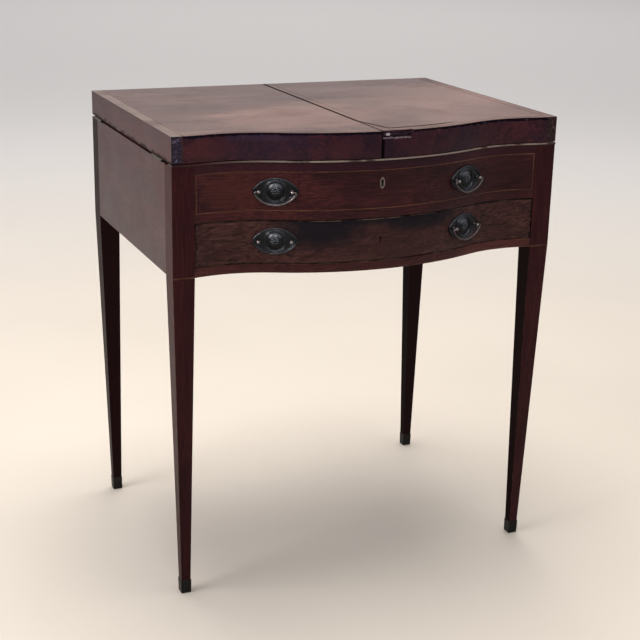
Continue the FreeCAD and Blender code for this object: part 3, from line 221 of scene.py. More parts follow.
# The worn right corner, on the lipping's front and on the cleat's end.
EDGE_CORNER = Stain(0.34, 0.828, 0.036, 0.014, 1.3, 0.5, 0.6, CORNER_WORN, 0.12)
END_CORNER = Stain(0.352, 0.829, 0.03, 0.013, 1.3, 0.5, 0.6, CORNER_WORN, 0.12)


class Lamp(NamedTuple):
    """A soft round studio light."""

    name: str
    place: tuple
    target: tuple
    size: float
    power: float
    tone: tuple


LAMPS = (
    Lamp("window", (-2.9, -0.3, 2.3), (0, 0, 0.6), 2.0, 66, (1.0, 0.97, 0.95)),
    Lamp("overhead", (0.2, 0.5, 3.4), (0, 0, 0.6), 2.6, 130, (1.0, 0.95, 0.88)),
    Lamp("fill", (1.6, -3.0, 1.9), (0, 0, 0.6), 1.6, 4, (0.95, 0.97, 1.0)),
    Lamp("glint", (-0.9, -2.3, 2.7), (0, -0.2, 0.7), 0.7, 9, (1.0, 0.97, 0.95)),
    Lamp("backdrop", (4.0, 10.0, 9.0), (4.0, 10.0, 0), 6.0, 240, (1.0, 0.97, 0.93)),
)


class Signal:
    """A node's output, with arithmetic that adds Math nodes beside it."""

    def __init__(self, finish, socket):
        self.finish = finish
        self.socket = socket

    def maths(self, operation, *values):
        """Add a Math node."""
        return self.finish.node("ShaderNodeMath", {"operation": operation}, dict(enumerate(values)))

    def __add__(self, other):
        return self.maths("ADD", self, other)

    __radd__ = __add__

    def __sub__(self, other):
        return self.maths("SUBTRACT", self, other)

    def __rsub__(self, other):
        return self.maths("SUBTRACT", other, self)

    def __mul__(self, other):
        return self.maths("MULTIPLY", self, other)

    __rmul__ = __mul__

    def __truediv__(self, other):
        return self.maths("DIVIDE", self, other)

    def __abs__(self):
        return self.maths("ABSOLUTE", self)

    def root(self):
        return self.maths("SQRT", self)

    def highest(self, other):
        return self.maths("MAXIMUM", self, other)

    def lowest(self, other):
        return self.maths("MINIMUM", self, other)

    def rising(self, low, high):
        """Go smoothly from 0 at low to 1 at high."""
        return self.finish.node("ShaderNodeMapRange", {"interpolation_type": "SMOOTHSTEP"},
                                {"Value": self, "From Min": low, "From Max": high})

    def falling(self, low, high):
        """Go smoothly from 1 at low to 0 at high."""
        return 1 - self.rising(low, high)

    def near(self, place, reach):
        """Be 1 at a place and fall to 0 at a reach from it."""
        return abs(self - place).falling(reach * 0.4, reach)


class Finish:
    """A material in the making."""

    def __init__(self, name):
        self.material = bpy.data.materials.new(name)
        self.material.use_nodes = True
        self.tree = self.material.node_tree
        self.tree.nodes.clear()
        coordinates = self.tree.nodes.new("ShaderNodeTexCoord")
        self.place = Signal(self, coordinates.outputs["Object"])
        self.x, self.y, self.z = self.parts(self.place)
        facing = self.parts(Signal(self, coordinates.outputs["Normal"]))
        self.rightward = facing[ACROSS]
        self.upward = facing[UP]
        self.facing = [abs(part) for part in facing]

    def node(self, kind, settings, inputs, output=0):
        """Add a node: first its settings, then the values or links of its sockets."""
        made = self.tree.nodes.new(kind)
        for name, setting in settings.items():
            if name == "stops":
                elements = made.color_ramp.elements
                for index, (position, colour) in enumerate(setting):
                    if index >= len(elements):
                        elements.new(position)
                    elements[index].position = position
                    elements[index].color = (*colour, 1)
            else:
                setattr(made, name, setting)
        for key, value in inputs.items():
            if isinstance(value, Signal):
                self.tree.links.new(value.socket, made.inputs[key])
            elif made.inputs[key].type == "RGBA":
                made.inputs[key].default_value = (*value, 1)
            else:
                made.inputs[key].default_value = value
        return Signal(self, made.outputs[output])

    def parts(self, vector):
        """Split a vector into its three numbers."""
        first = self.node("ShaderNodeSeparateXYZ", {}, {0: vector})
        outputs = first.socket.node.outputs
        return tuple(Signal(self, outputs[index]) for index in range(3))

    def vector(self, operation, first, second, output=0):
        """Work on two vectors."""
        return self.node("ShaderNodeVectorMath", {"operation": operation}, {0: first, 1: second}, output)

    def cloud(self, scale, detail=3.0, roughness=0.5, places=None, output="Fac"):
        """Add noise, with so many features to the metre."""
        return self.node("ShaderNodeTexNoise", {}, {
            "Vector": self.place if places is None else places,
            "Scale": scale,
            "Detail": detail,
            "Roughness": roughness,
        }, output)

    def streaks(self, along, ratio, scale, detail=3.0, roughness=0.5, places=None):
        """Add noise drawn out along one axis, so that it is finer across the other two."""
        stretch = [ratio, ratio, ratio]
        stretch[along] = 1
        drawn = self.vector("MULTIPLY", self.place if places is None else places, stretch)
        return self.cloud(scale, detail, roughness, drawn)

    def waved(self, scale, reach):
        """Push the places about in waves, by so much."""
        waves = self.cloud(scale, 3.0, 0.55, output="Color")
        return self.vector("ADD", self.place, self.vector("MULTIPLY", waves, (reach, reach, reach)))

    def turned(self, places, angle):
        """Turn places about the axis that runs to the back."""
        return self.node("ShaderNodeVectorRotate", {"rotation_type": "Y_AXIS"},
                         {"Vector": places, "Angle": angle})

    def blend(self, mask, first, second):
        """Mix two colours."""
        return self.node("ShaderNodeMix", {"data_type": "RGBA"}, {0: mask, 6: first, 7: second}, 2)

    def ramp(self, mask, *stops):
        """Turn a number into a colour."""
        return self.node("ShaderNodeValToRGB", {"stops": stops}, {0: mask})

    def arris(self):
        """Find the rounded edges by the way they face."""
        level = self.facing[UP].rising(0.15, 0.3) * self.facing[UP].falling(0.9, 0.98)
        upright = self.facing[ACROSS].lowest(self.facing[DEEP]).rising(0.44, 0.6)
        return level.highest(upright)

    def patch(self, x, z, across, up, ragged=0.5, soft=0.3):
        """Find a ragged patch on the front."""
        sideways = (self.x - x) / across
        upwards = (self.z - z) / up
        edge = (self.cloud(55, 4.0, 0.6) - 0.5) * (2 * ragged)
        return (sideways * sideways + upwards * upwards + edge).falling(0.75 - soft, 0.75 + soft)

    def surface(self, constants, links, height=None, depth=0.0002, strength=0.5, dull=None):
        """Finish with the surface shader: fixed numbers on its own sockets, and what varies linked.

        Where dull is 1 the polish is gone, and nothing shines.
        """
        if height is not None:
            links["Normal"] = self.node("ShaderNodeBump", {}, {"Strength": strength, "Distance": depth,
                                                               "Height": height})
        shader = self.node("ShaderNodeBsdfPrincipled", {}, {**constants, **links})
        if dull is not None:
            bare = self.node("ShaderNodeBsdfPrincipled", {}, {
                "Base Color": links["Base Color"],
                "Roughness": 1.0,
                "Specular IOR Level": 0.0,
            })
            shader = self.node("ShaderNodeMixShader", {}, {0: dull, 1: shader, 2: bare})
        output = self.tree.nodes.new("ShaderNodeOutputMaterial")
        self.tree.links.new(shader.socket, output.inputs["Surface"])
        return self.material


class Wood(Finish):
    """Polished wood with its grain along one axis, in three tones from dark to pale."""

    def __init__(self, name, along, tones, turn=0.0, figure=3.0, contrast=2.2):
        super().__init__(name)
        deep, middle, pale = tones
        slow = self.vector("SUBTRACT", self.cloud(2.5, 2.0, output="Color"), (0.5, 0.5, 0.5))
        wander = self.vector("ADD", self.place, self.vector("MULTIPLY", slow, (0.05, 0.05, 0.05)))
        if turn:
            wander = self.turned(wander, turn)
        self.fine = self.streaks(along, 45, 8.0, 4.0, 0.65, wander)
        self.broad = self.streaks(along, 8, figure, places=wander)
        self.mottle = self.cloud(14.0, 4.0, 0.6)
        self.pores = self.streaks(along, 30, 75, 1.0, places=wander).rising(0.6, 0.72)
        tone = (self.fine * 0.5 + self.broad * 0.35 + self.mottle * 0.15 - 0.5) * contrast + 0.5
        self.colour = self.ramp(tone, (0.2, deep), (0.5, middle), (0.82, pale))
        self.colour = self.blend(self.pores * 0.45, self.colour, scaled(deep, 0.35))
        self.rough = 0.3 + self.mottle * 0.16 + self.pores * 0.12
        self.height = self.fine * 0.5 - self.pores * 0.6 + self.mottle * 0.4
        self.dull = None

    def mark(self, mask, colour, rough=0.0, dull=0.0):
        """Colour part of the wood, and change how rough or dull it is there."""
        self.colour = self.blend(mask, self.colour, colour)
        if rough:
            self.rough = self.rough + mask * rough
        if dull:
            self.dull = mask * dull if self.dull is None else self.dull.highest(mask * dull)

    def stain(self, stain, within=None):
        """Lay a stain on the wood, or on the part of it that a mask gives."""
        patch = self.patch(stain.x, stain.z, stain.across, stain.up, stain.ragged, stain.soft)
        if within is not None:
            patch = patch * within
        self.mark(patch * stain.strength, stain.colour, stain.rough)

    def behind_front(self):
        """Give how far each place lies behind the front's serpentine line."""
        centre = FRONT + BULGE_RADIUS
        hollow_centre = centre - math.sqrt((BULGE_RADIUS + HOLLOW_RADIUS) ** 2 - HOLLOW_PLACE ** 2)
        across = abs(self.x)
        beyond = across - HOLLOW_PLACE
        bulging = centre - (BULGE_RADIUS ** 2 - across * across).root()
        hollowed = hollow_centre + (HOLLOW_RADIUS ** 2 - beyond * beyond).root()
        outer = across.rising(MEETING - 0.0001, MEETING + 0.0001)
        return self.y - bulging * (1 - outer) - hollowed * outer

    def wear(self, amount=0.8, rubbed=None):
        """Rub the arrises through to paler wood, here and there."""
        bare = self.cloud(45, 4.0, 0.65).rising(0.42, 0.62)
        self.mark(self.arris() * bare * amount, rubbed or tuples("worn")[0], 0.12)

    def polished(self, level=0.2, depth=0.0002):
        """Finish with old polish."""
        links = {"Base Color": self.colour, "Roughness": self.rough}
        return self.surface({"Specular IOR Level": level}, links, self.height, depth, dull=self.dull)


def scaled(colour, share):
    """Give a colour so much darker or lighter."""
    return tuple(part * share for part in colour)


def paint(material, *nodes):
    """Give construction nodes their finish."""
    for node in nodes:
        piece = frame["nodes"][node]
        for slot in piece.material_slots:
            slot.material = material
        if not piece.material_slots:
            piece.data.materials.append(material)


def object_from(name, shape, *materials):
    """Make an object of a bmesh, with its materials."""
    mesh = bpy.data.meshes.new(name)
    shape.to_mesh(mesh)
    shape.free()
    for material in materials:
        mesh.materials.append(material)
    made = bpy.data.objects.new(name, mesh)
    bpy.context.scene.collection.objects.link(made)
    return made


def piece_from(name, shape, material, body):
    """Make a smooth piece of a bmesh, finished and riding on a body."""
    bmesh.ops.recalc_face_normals(shape, faces=shape.faces)
    piece = object_from(name, shape, material)
    for face in piece.data.polygons:
        face.use_smooth = True
    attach(piece, body)
    return piece


def node_shape(source):
    """Copy a construction node's shape into a bmesh whose faces share their points."""
    shape = bmesh.new()
    shape.from_mesh(source.data)
    bmesh.ops.remove_doubles(shape, verts=shape.verts, dist=WELD_DISTANCE)
    return shape


def colour_property(name, description, default):
    """Make a colour that the sidebar lists."""
    return bpy.props.FloatVectorProperty(name=name, description=description, default=default, subtype="COLOR",
                                         size=3, min=0, max=1)


def size_property(name, description, default, low, high):
    """Make a length that the sidebar lists, with its lowest and highest value."""
    return bpy.props.FloatProperty(name=name, description=description, default=default, min=low, max=high,
                                   unit="LENGTH", subtype="DISTANCE")


class TableSizes(bpy.types.PropertyGroup):
    """Sizes of what is added to the construction model."""

    arris: size_property("Arris", "Width that wear has taken off the wood's edges", 0.0011, 0.0003, 0.0016)
    chip_length: size_property("Chip length", "Length of the right leaf's chip", 0.058, 0.01, 0.12)
    chip_height: size_property("Chip height", "Height of the chip, from the top", 0.0142, 0.002, 0.016)
    chip_depth: size_property("Chip depth", "Depth of the chip, from the front", 0.0068, 0.001, 0.012)


class TableColours(bpy.types.PropertyGroup):
    """Colours of the finishes and the studio."""

    deep: colour_property("Mahogany, deep", "Darkest streaks of the mahogany", (0.011, 0.0022, 0.0028))
    middle: colour_property("Mahogany, middle", "Usual colour of the mahogany", (0.034, 0.0063, 0.0082))
    pale: colour_property("Mahogany, pale", "Palest streaks of the mahogany", (0.077, 0.0175, 0.0162))
    faded_deep: colour_property("Faded top, deep", "Darkest streaks of the faded top", (0.044, 0.021, 0.017))
    faded_middle: colour_property("Faded top, middle", "Usual colour of the faded top", (0.076, 0.039, 0.031))
    faded_pale: colour_property("Faded top, pale", "Palest streaks of the faded top", (0.125, 0.073, 0.059))
    worn: colour_property("Worn edge", "Mahogany where its polish is rubbed through", (0.17, 0.1, 0.072))
    oak: colour_property("Oak", "Drawer linings and runners", (0.2, 0.122, 0.066))
    stringing: colour_property("Stringing", "Pale wood line, darkened by old polish", (0.1, 0.036, 0.0165))
    bronze: colour_property("Bronze", "Tarnished stamped brass of the plates", (0.044, 0.046, 0.052))
    brass: colour_property("Brass", "Rubbed brass of nuts and hinges", (0.3, 0.25, 0.18))
    bone: colour_property("Bone", "Keyhole surround", (0.23, 0.195, 0.155))
    ebonised: colour_property("Ebonised", "Black foot caps", (0.011, 0.01, 0.01))
    floor: colour_property("Floor", "Studio floor", (0.6, 0.55, 0.49))
    backdrop: colour_property("Far floor", "Studio floor where it runs off", (0.9, 0.87, 0.84))
    air: colour_property("Studio air", "Soft light from all round", (0.95, 0.95, 1.0))


def sizes():
    """Give the sizes that the sidebar lists."""
    return bpy.context.scene.table_sizes


def tuples(*names):
    """Give colours as plain tuples."""
    return [tuple(getattr(bpy.context.scene.table_colours, name)) for name in names]


def mahogany():
    """Give the three tones of the case's mahogany."""
    return tuples("deep", "middle", "pale")


def rounded_outline(node, name, width):
    """Stand a copy in for a front, with only the arrises of its outline rounded and not its holes."""
    source = frame["nodes"][node]
    low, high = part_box(node)
    shape = node_shape(source)

    def outside(vertex):
        return any(abs(vertex.co[axis] - end[axis]) < 0.0001 for axis in (ACROSS, UP) for end in (low, high))

    outline = [edge for edge in shape.edges if len(edge.link_faces) == 2 and all(map(outside, edge.verts))
               and edge.calc_face_angle() > math.radians(OUTLINE_ANGLE)]
    bmesh.ops.bevel(shape, geom=outline, offset=width, segments=3, profile=0.5, affect="EDGES",
                    clamp_overlap=True)
    for edge in shape.edges:
        edge.smooth = len(edge.link_faces) == 2 and edge.calc_face_angle() < math.radians(SMOOTH_ANGLE)
    piece = piece_from(name, shape, source.material_slots[0].material, source["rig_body"])
    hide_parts(node)


def rounded(piece, width, segments=3):
    """Round a piece's arrises."""
    weld = piece.modifiers.new("Joined edges", "WELD")
    weld.merge_threshold = WELD_DISTANCE
    arris = piece.modifiers.new("Worn arris", "BEVEL")
    arris.width = width
    arris.segments = segments
    arris.limit_method = "ANGLE"
    arris.angle_limit = math.radians(ARRIS_ANGLE)
    arris.use_clamp_overlap = True


class RoundArrises(bpy.types.Operator):
    """Round the wood's edges as two centuries of dusting have"""

    bl_idname = "table.round_arrises"
    bl_label = "Round the arrises"

    def execute(self, context):
        width = sizes().arris
        for node in (*LEGS, *LID_WOOD, "left_side_panel", "right_side_panel"):
            rounded(frame["nodes"][node], width)
        rounded(frame["nodes"]["drawer_rail"], width * RAIL_SHARE)
        rounded_outline("front_fascia", "rounded_fascia", width * FASCIA_SHARE)
        rounded_outline("drawer_front", "rounded_drawer_front", width * DRAWER_SHARE)
        for node in FINE_WOOD:
            rounded(frame["nodes"][node], width * FINE_SHARE, 2)
        return {"FINISHED"}


class PolishCase(bpy.types.Operator):
    """Finish the front, sides, legs, bead, stringing, keyhole surround and foot caps"""

    bl_idname = "table.polish_case"
    bl_label = "Polish the case"

    def fascia(self):
        """Polish the false drawer front: a redder left end, painted shade along its top, a painted shadow
        line along its foot and a fine crack.
        """
        front = Wood("fascia mahogany", ACROSS, mahogany())
        front.stain(FASCIA_STAIN)
        # Painted shade along the top of the front, under the bead.
        front.mark(front.z.rising(STRINGING_TOP - 0.001, STRINGING_TOP + 0.002) * 0.6, FASCIA_PAINTED_SHADE)
        crack = front.x.near(CRACK_PLACE, 0.0009) * front.z.falling(STRINGING_TOP - 0.003, STRINGING_TOP)
        front.mark(crack * 0.7, FASCIA_CRACK)
        front.mark(front.x.rising(0.16, 0.34) * 0.4, FASCIA_RIGHT)
        # A painted shadow line along the front's foot.
        front.mark(front.z.near(FASCIA_BOTTOM, 0.0016) * 0.8, FASCIA_PAINTED_SHADOW_LINE, rough=0.1)
        front.wear(amount=0.4)
        paint(front.polished(level=0.13), "front_fascia")

    def bead(self):
        """Polish the bead under the leaves, with a painted highlight along its front and painted shade on its
        lower half.
        """
        bead = Wood("bead mahogany", ACROSS, mahogany())
        over = bead.z.rising(BEAD_BOTTOM + 0.0009, BEAD_BOTTOM + 0.0015)
        along_front = bead.behind_front().falling(0.003, 0.0065) * 0.85 + 0.15
        # A painted highlight in patches along the bead's upper front, where light catches it.
        rubbed = bead.cloud(26, 4.0, 0.6).rising(0.3, 0.5) * bead.x.rising(-0.34, -0.12) * along_front
        bead.mark(rubbed * over, BEAD_PAINTED_HIGHLIGHT, rough=0.1)
        # Painted shade on the bead's lower half, which faces down.
        bead.mark((1 - over) * 0.8, BEAD_PAINTED_SHADE)
        paint(bead.polished(), "front_bead")

    def drawer_front(self):
        """Polish the drawer front: coarse split grain, ink-black stains, dark, nibbled ends and painted
        shadow lines along its top and bottom.
        """
        drawer = Wood("drawer front mahogany", ACROSS, DRAWER_TONES, figure=4.5, contrast=2.4)
        coarse = drawer.streaks(ACROSS, 5, 34, 5.0, 0.7)
        drawer.mark(coarse.rising(0.5, 0.66) * 0.55, DRAWER_PORES, rough=0.1)
        leaning = drawer.turned(drawer.waved(13, 0.05), 0.3)
        split = drawer.streaks(ACROSS, 9, 26, 5.0, 0.7, leaning)
        drawer.mark(split.rising(0.56, 0.63) * 0.8, DRAWER_SPLITS, rough=0.1)
        drawer.mark(split.falling(0.37, 0.45) * 0.55, DRAWER_RIDGES)
        for stain in DRAWER_STAINS:
            drawer.stain(stain)
        nibbled = (drawer.cloud(95, 4.0, 0.7) - 0.5) * 0.022
        ends = (abs(drawer.x) + nibbled).rising(DRAWER_HIGH.x - 0.0018, DRAWER_HIGH.x - 0.0008)
        drawer.mark(ends * 0.85, DRAWER_END, rough=0.1, dull=0.6)
        # Painted shadow lines along the gaps at the drawer's top and bottom edges.
        for z in (DRAWER_LOW.z, DRAWER_HIGH.z):
            drawer.mark(drawer.z.near(z, 0.0022) * 0.75, DRAWER_PAINTED_SHADOW_LINE, rough=0.1)
        drawer.rough = drawer.rough + 0.1
        drawer.height = drawer.height + coarse * 0.8
        drawer.wear(amount=0.9)
        along_top = drawer.z.rising(DRAWER_HIGH.z - 0.0016, DRAWER_HIGH.z - 0.0012)
        rubbed = along_top * drawer.behind_front().falling(0.0012, 0.0028)
        rubbed = rubbed * drawer.patch(-0.045, DRAWER_HIGH.z, 0.085, 0.05)
        rubbed = rubbed * drawer.streaks(ACROSS, 3, 40).rising(0.4, 0.5)
        drawer.mark(rubbed * 0.6, tuples("worn")[0], rough=0.1)
        paint(drawer.polished(level=0.14), "drawer_front")

    def rail_and_sides(self):
        """Polish the rail under the drawer, and the sides with their grey bloom."""
        rail = Wood("rail mahogany", ACROSS, RAIL_TONES)
        rail.wear()
        paint(rail.polished(level=0.14), "drawer_rail")
        side = Wood("side mahogany", DEEP, mahogany(), figure=2.0)
        side.mark(side.cloud(9, 5.0, 0.7).rising(0.45, 0.7) * 0.4, SIDE_BLOOM, rough=0.1)
        side.wear()
        paint(side.polished(level=0.31), "left_side_panel", "right_side_panel")

    def legs(self):
        """Polish the legs, with painted shade at the back and low down, and painted shadow on the right legs'
        inner sides.
        """
        leg = Wood("leg mahogany", UP, mahogany(), figure=2.4, contrast=1.4)
        leg.mark(leg.cloud(30, 5.0, 0.7).rising(0.58, 0.75) * 0.35, LEG_SPECKS, rough=0.12)
        # Painted shade, darker at the back and low down; painted shadow, dark and unpolished, on the right
        # legs' inner sides.
        at_back = leg.y.rising(0.0, 0.2)
        low_down = leg.z.falling(0.1, 0.6) * 0.2
        leg.mark(low_down.highest(at_back) * 0.75, LEG_PAINTED_SHADE)
        inner = leg.rightward.falling(-0.8, -0.5) * leg.x.rising(0.1, 0.3)
        leg.mark(inner.highest(at_back * 0.4) * 0.85, LEG_PAINTED_SHADOW, dull=0.9)
        leg.wear(amount=0.6)
        paint(leg.polished(level=0.08), *LEGS)

    def stringing_and_caps(self):
        """Finish the pale wood lines and the black foot caps."""
        line = Wood("old stringing", ACROSS, (STRING_DARK, *tuples("stringing"), STRING_PALE))
        line.mark(line.mottle.rising(0.45, 0.65) * 0.7, STRING_DIRT)
        paint(line.polished(), "fascia_stringing", "leg_stringing")
        cap = Wood("ebonised caps", UP, (CAP_DARK, *tuples("ebonised"), CAP_PALE))
        cap.wear(0.4, CAP_WORN)
        paint(cap.polished(level=0.1), "foot_caps")

    def keyhole(self):
        """Finish the bone round the keyhole, with painted shadow in its hole and old polish over its edge."""
        bone = Finish("yellowed bone")
        low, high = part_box("escutcheon")
        middle = (low + high) / 2
        tint = bone.ramp(bone.streaks(UP, 8, 120, 4.0), (0.3, BONE_DARK), (0.6, *tuples("bone")))
        # Painted shadow in the keyhole.
        hole_shadow = bone.patch(middle.x, middle.z, *KEYHOLE_SHADOW, 0.1)
        tint = bone.blend(hole_shadow * 0.9, tint, BONE_PAINTED_SHADOW)
        clear = bone.patch(middle.x, middle.z, *KEYHOLE_BONE, 0.05, 0.12)
        tint = bone.blend(clear, BONE_EDGE, tint)
        rough = 0.35 + bone.cloud(300) * 0.2
        paint(bone.surface({"Specular IOR Level": 0.5}, {"Base Color": tint, "Roughness": rough},
                           bone.cloud(700, 4.0), 0.0001), "escutcheon")

    def execute(self, context):
        self.fascia()
        self.bead()
        self.drawer_front()
        self.rail_and_sides()
        self.legs()
        self.stringing_and_caps()
        self.keyhole()
        return {"FINISHED"}


class PolishLids(bpy.types.Operator):
    """Finish the two leaves: faded tops, flame-figured front edges and end grain"""

    bl_idname = "table.polish_lids"
    bl_label = "Polish the leaves"

    def leaf(self, name, along, tones, turn=0.0, figure=2.2, contrast=2.2):
        """Make a finish that is faded on top, with painted sheen, a painted highlight and painted shade
        towards the back, and red in front and below.
        """
        deep, middle, pale = tuples("faded_deep", "faded_middle", "faded_pale")
        wood = Wood(name, along, tones, turn, figure, contrast)
        streaks = wood.streaks(DEEP if along == DEEP else ACROSS, 14, 3.0, 4.0, 0.6)
        blotches = wood.streaks(ACROSS, 2.2, 4.5, 5.0, 0.62)
        faded = wood.ramp(streaks * 0.4 + blotches * 0.6, (0.34, deep), (0.5, middle), (0.66, pale))
        # Painted sheen in warm, paler clouds towards the front right, a painted highlight in a ragged patch,
        # and painted shade towards the back.
        front_sheen = wood.cloud(3.2, 2.0).rising(0.4, 0.7) * (wood.x * 1.1 - wood.y).rising(-0.35, 0.35)
        aside = (wood.x - HIGHLIGHT_MIDDLE[0]) / HIGHLIGHT_REACH[0]
        behind = (wood.y - HIGHLIGHT_MIDDLE[1]) / HIGHLIGHT_REACH[1]
        ragged = (wood.cloud(17, 4.0, 0.6) - 0.5) * 2.4
        glow = (aside * aside + behind * behind + ragged).falling(0.2, 1.3)
        at_back = wood.y.rising(-0.05, 0.28)
        stained = wood.cloud(7, 5.0, 0.65).rising(0.52, 0.72)
        for mask, colour in ((wood.pores * 0.25, deep), (front_sheen * 0.7, TOP_PAINTED_SHEEN), (glow * 0.3, TOP_PAINTED_HIGHLIGHT),
                             (at_back * 0.45, TOP_PAINTED_SHADE), (stained * 0.35, TOP_STAIN)):
            faded = wood.blend(mask, faded, colour)
        on_top = wood.upward.rising(0.6, 0.8)
        wood.mark(on_top, faded)
        scratch = abs(wood.streaks(ACROSS, 3, 30, 2.0) - 0.5).falling(0.0, 0.006)
        wood.mark(scratch * on_top * 0.25, TOP_SCRATCH)
        wood.rough = wood.rough - on_top * 0.02 + stained * on_top * 0.1
        return wood

    def seam_shade(self, wood):
        """Paint shade on both leaves beside the seam, and rule the right leaf's line.

        The line leaves the seam behind the front, and follows the front until it fades out.
        """
        on_top = wood.upward.rising(0.5, 0.8)
        turning = SEAM + LINE_ASIDE
        forward = (LINE_START - wood.y) / (LINE_START - FRONT - LINE_BEHIND)
        leaving = (wood.x - SEAM - forward * LINE_ASIDE).near(0, 0.0046) * forward.rising(-0.06, 0.02)
        leaving = leaving * forward.falling(1.0, 1.04)
        along = wood.behind_front().near(LINE_BEHIND, 0.0056) * wood.x.rising(turning - 0.002, turning)
        along = along * wood.x.falling(0.12, 0.18)
        faint = wood.x.near(SEAM + 0.016, 0.002) * wood.y.rising(-0.15, -0.1) * 0.4
        wood.mark(on_top * leaving.highest(along).highest(faint) * 0.9, STRIP_LINE, dull=0.95)
        # Painted shade beside the seam where the leaves meet, less of it near the front.
        closed = on_top * wood.y.falling(-0.2, -0.16) * 0.55
        wood.mark(wood.x.near(SEAM, 0.0044) * (1 - closed), SEAM_PAINTED_SHADE, rough=0.2, dull=0.9)

    def cores(self):
        """Polish the leaves' broad middles."""
        top = self.leaf("faded leaf mahogany", ACROSS, mahogany())
        top.wear()
        self.seam_shade(top)
        paint(top.polished(level=0.6), "left_lid_core", "right_lid_core")

    def lippings(self):
        """Polish the leaves' front edges: flame and feather figure, stains and a ragged dark arris."""
        edge = self.leaf("flame lipping mahogany", UP, FLAME_TONES, 0.85, 5.0, 1.2)
        in_front = edge.upward.falling(0.5, 0.8)
        waved = edge.waved(9, 0.15)
        flame = edge.streaks(UP, 2.0, 15, 5.0, 0.6, waved)
        edge.mark(flame.rising(0.47, 0.6) * in_front * 0.65, FLAME_RED)
        edge.mark(flame.falling(0.36, 0.48) * in_front * 0.8, FLAME_DARK)
        feather = edge.streaks(ACROSS, 9, 22, 4.0, 0.6, edge.turned(waved, 0.7))
        edge.mark(feather.rising(0.52, 0.61) * in_front * 0.45, FEATHER_RED)
        edge.mark(feather.falling(0.38, 0.47) * in_front * 0.5, FEATHER_DARK)
        for stain in EDGE_STAINS:
            edge.stain(stain, in_front)
        edge.stain(EDGE_CORNER, edge.mottle.rising(0.4, 0.6) * in_front)
        edge.wear(amount=0.35)
        nicked = edge.streaks(ACROSS, 2, 60, 4.0, 0.7)
        thicker = edge.x.rising(0.12, 0.2) * 0.0014
        line = (edge.z + (nicked - 0.5) * 0.011 + thicker).rising(LEAF_TOP - 0.0048, LEAF_TOP - 0.003)
        line = line * edge.upward.falling(0.97, 0.995)
        edge.mark(line * 0.94, ARRIS_DIRT, rough=0.1, dull=0.9)
        edge.mark(line * nicked.rising(0.6, 0.66) * 0.6, ARRIS_NICKS, rough=0.1)
        self.seam_shade(edge)
        paint(edge.polished(level=0.15), "left_lid_front_lipping", "right_lid_front_lipping")

    def cleats(self):
        """Polish the cleats: pale bloom on the left, dark joints, and rough end grain in front."""
        end = self.leaf("cleat mahogany", DEEP, mahogany())
        bloom = end.upward.rising(0.6, 0.8) * end.mottle.rising(0.3, 0.6) * end.x.falling(-0.1, 0.1)
        end.mark(bloom * 0.75, CLEAT_BLOOM)
        joint = end.x.near(-CLEAT_JOINT - 0.0001, 0.0018) * end.upward.rising(0.5, 0.8)
        end.mark(joint * 0.4, CLEAT_JOINT_DIRT, dull=0.5)
        right_edge = end.x.rising(LEAF_SIDE - 0.0035, LEAF_SIDE - 0.0015) * end.upward.rising(0.2, 0.5)
        end.mark(right_edge * 0.8, CLEAT_EDGE, dull=0.7)
        nicked = (end.streaks(DEEP, 2.5, 42, 5.0, 0.7) - 0.5) * 0.03
        nicks = (end.z + nicked).falling(LEAF_UNDERSIDE + 0.001, LEAF_UNDERSIDE + 0.0045)
        end.mark(nicks * end.facing[ACROSS].rising(0.5, 0.9) * 0.75, CLEAT_NICKS, rough=0.1, dull=0.8)
        lines = end.streaks(ACROSS, 30, 22, 3.0, 0.7)
        front = end.facing[DEEP].rising(0.7, 0.9)
        ragged = (end.cloud(70, 4.0, 0.65) - 0.5) * 0.016
        dots = end.cloud(130, 3.0, 0.6).rising(0.56, 0.66)
        for side, (dark, usual, light) in END_TONES.items():
            inner = END_BLOCKS[side]
            block = front * (end.x * SIDES[side] + ragged).rising(inner - 0.0015, inner + 0.0015)
            grain = end.ramp(lines, (0.35, dark), (0.52, usual), (0.7, light))
            end.mark(block * 0.95, grain, rough=0.05, dull=0.6)
            end.mark(block * dots * 0.7, scaled(light, 2.2))
        end.stain(END_CORNER, end.mottle.rising(0.4, 0.6) * front)
        end.wear(amount=1.0)
        paint(end.polished(level=0.28), "left_lid_side_cleat", "right_lid_side_cleat")

    def execute(self, context):
        self.cores()
        self.lippings()
        self.cleats()
        return {"FINISHED"}


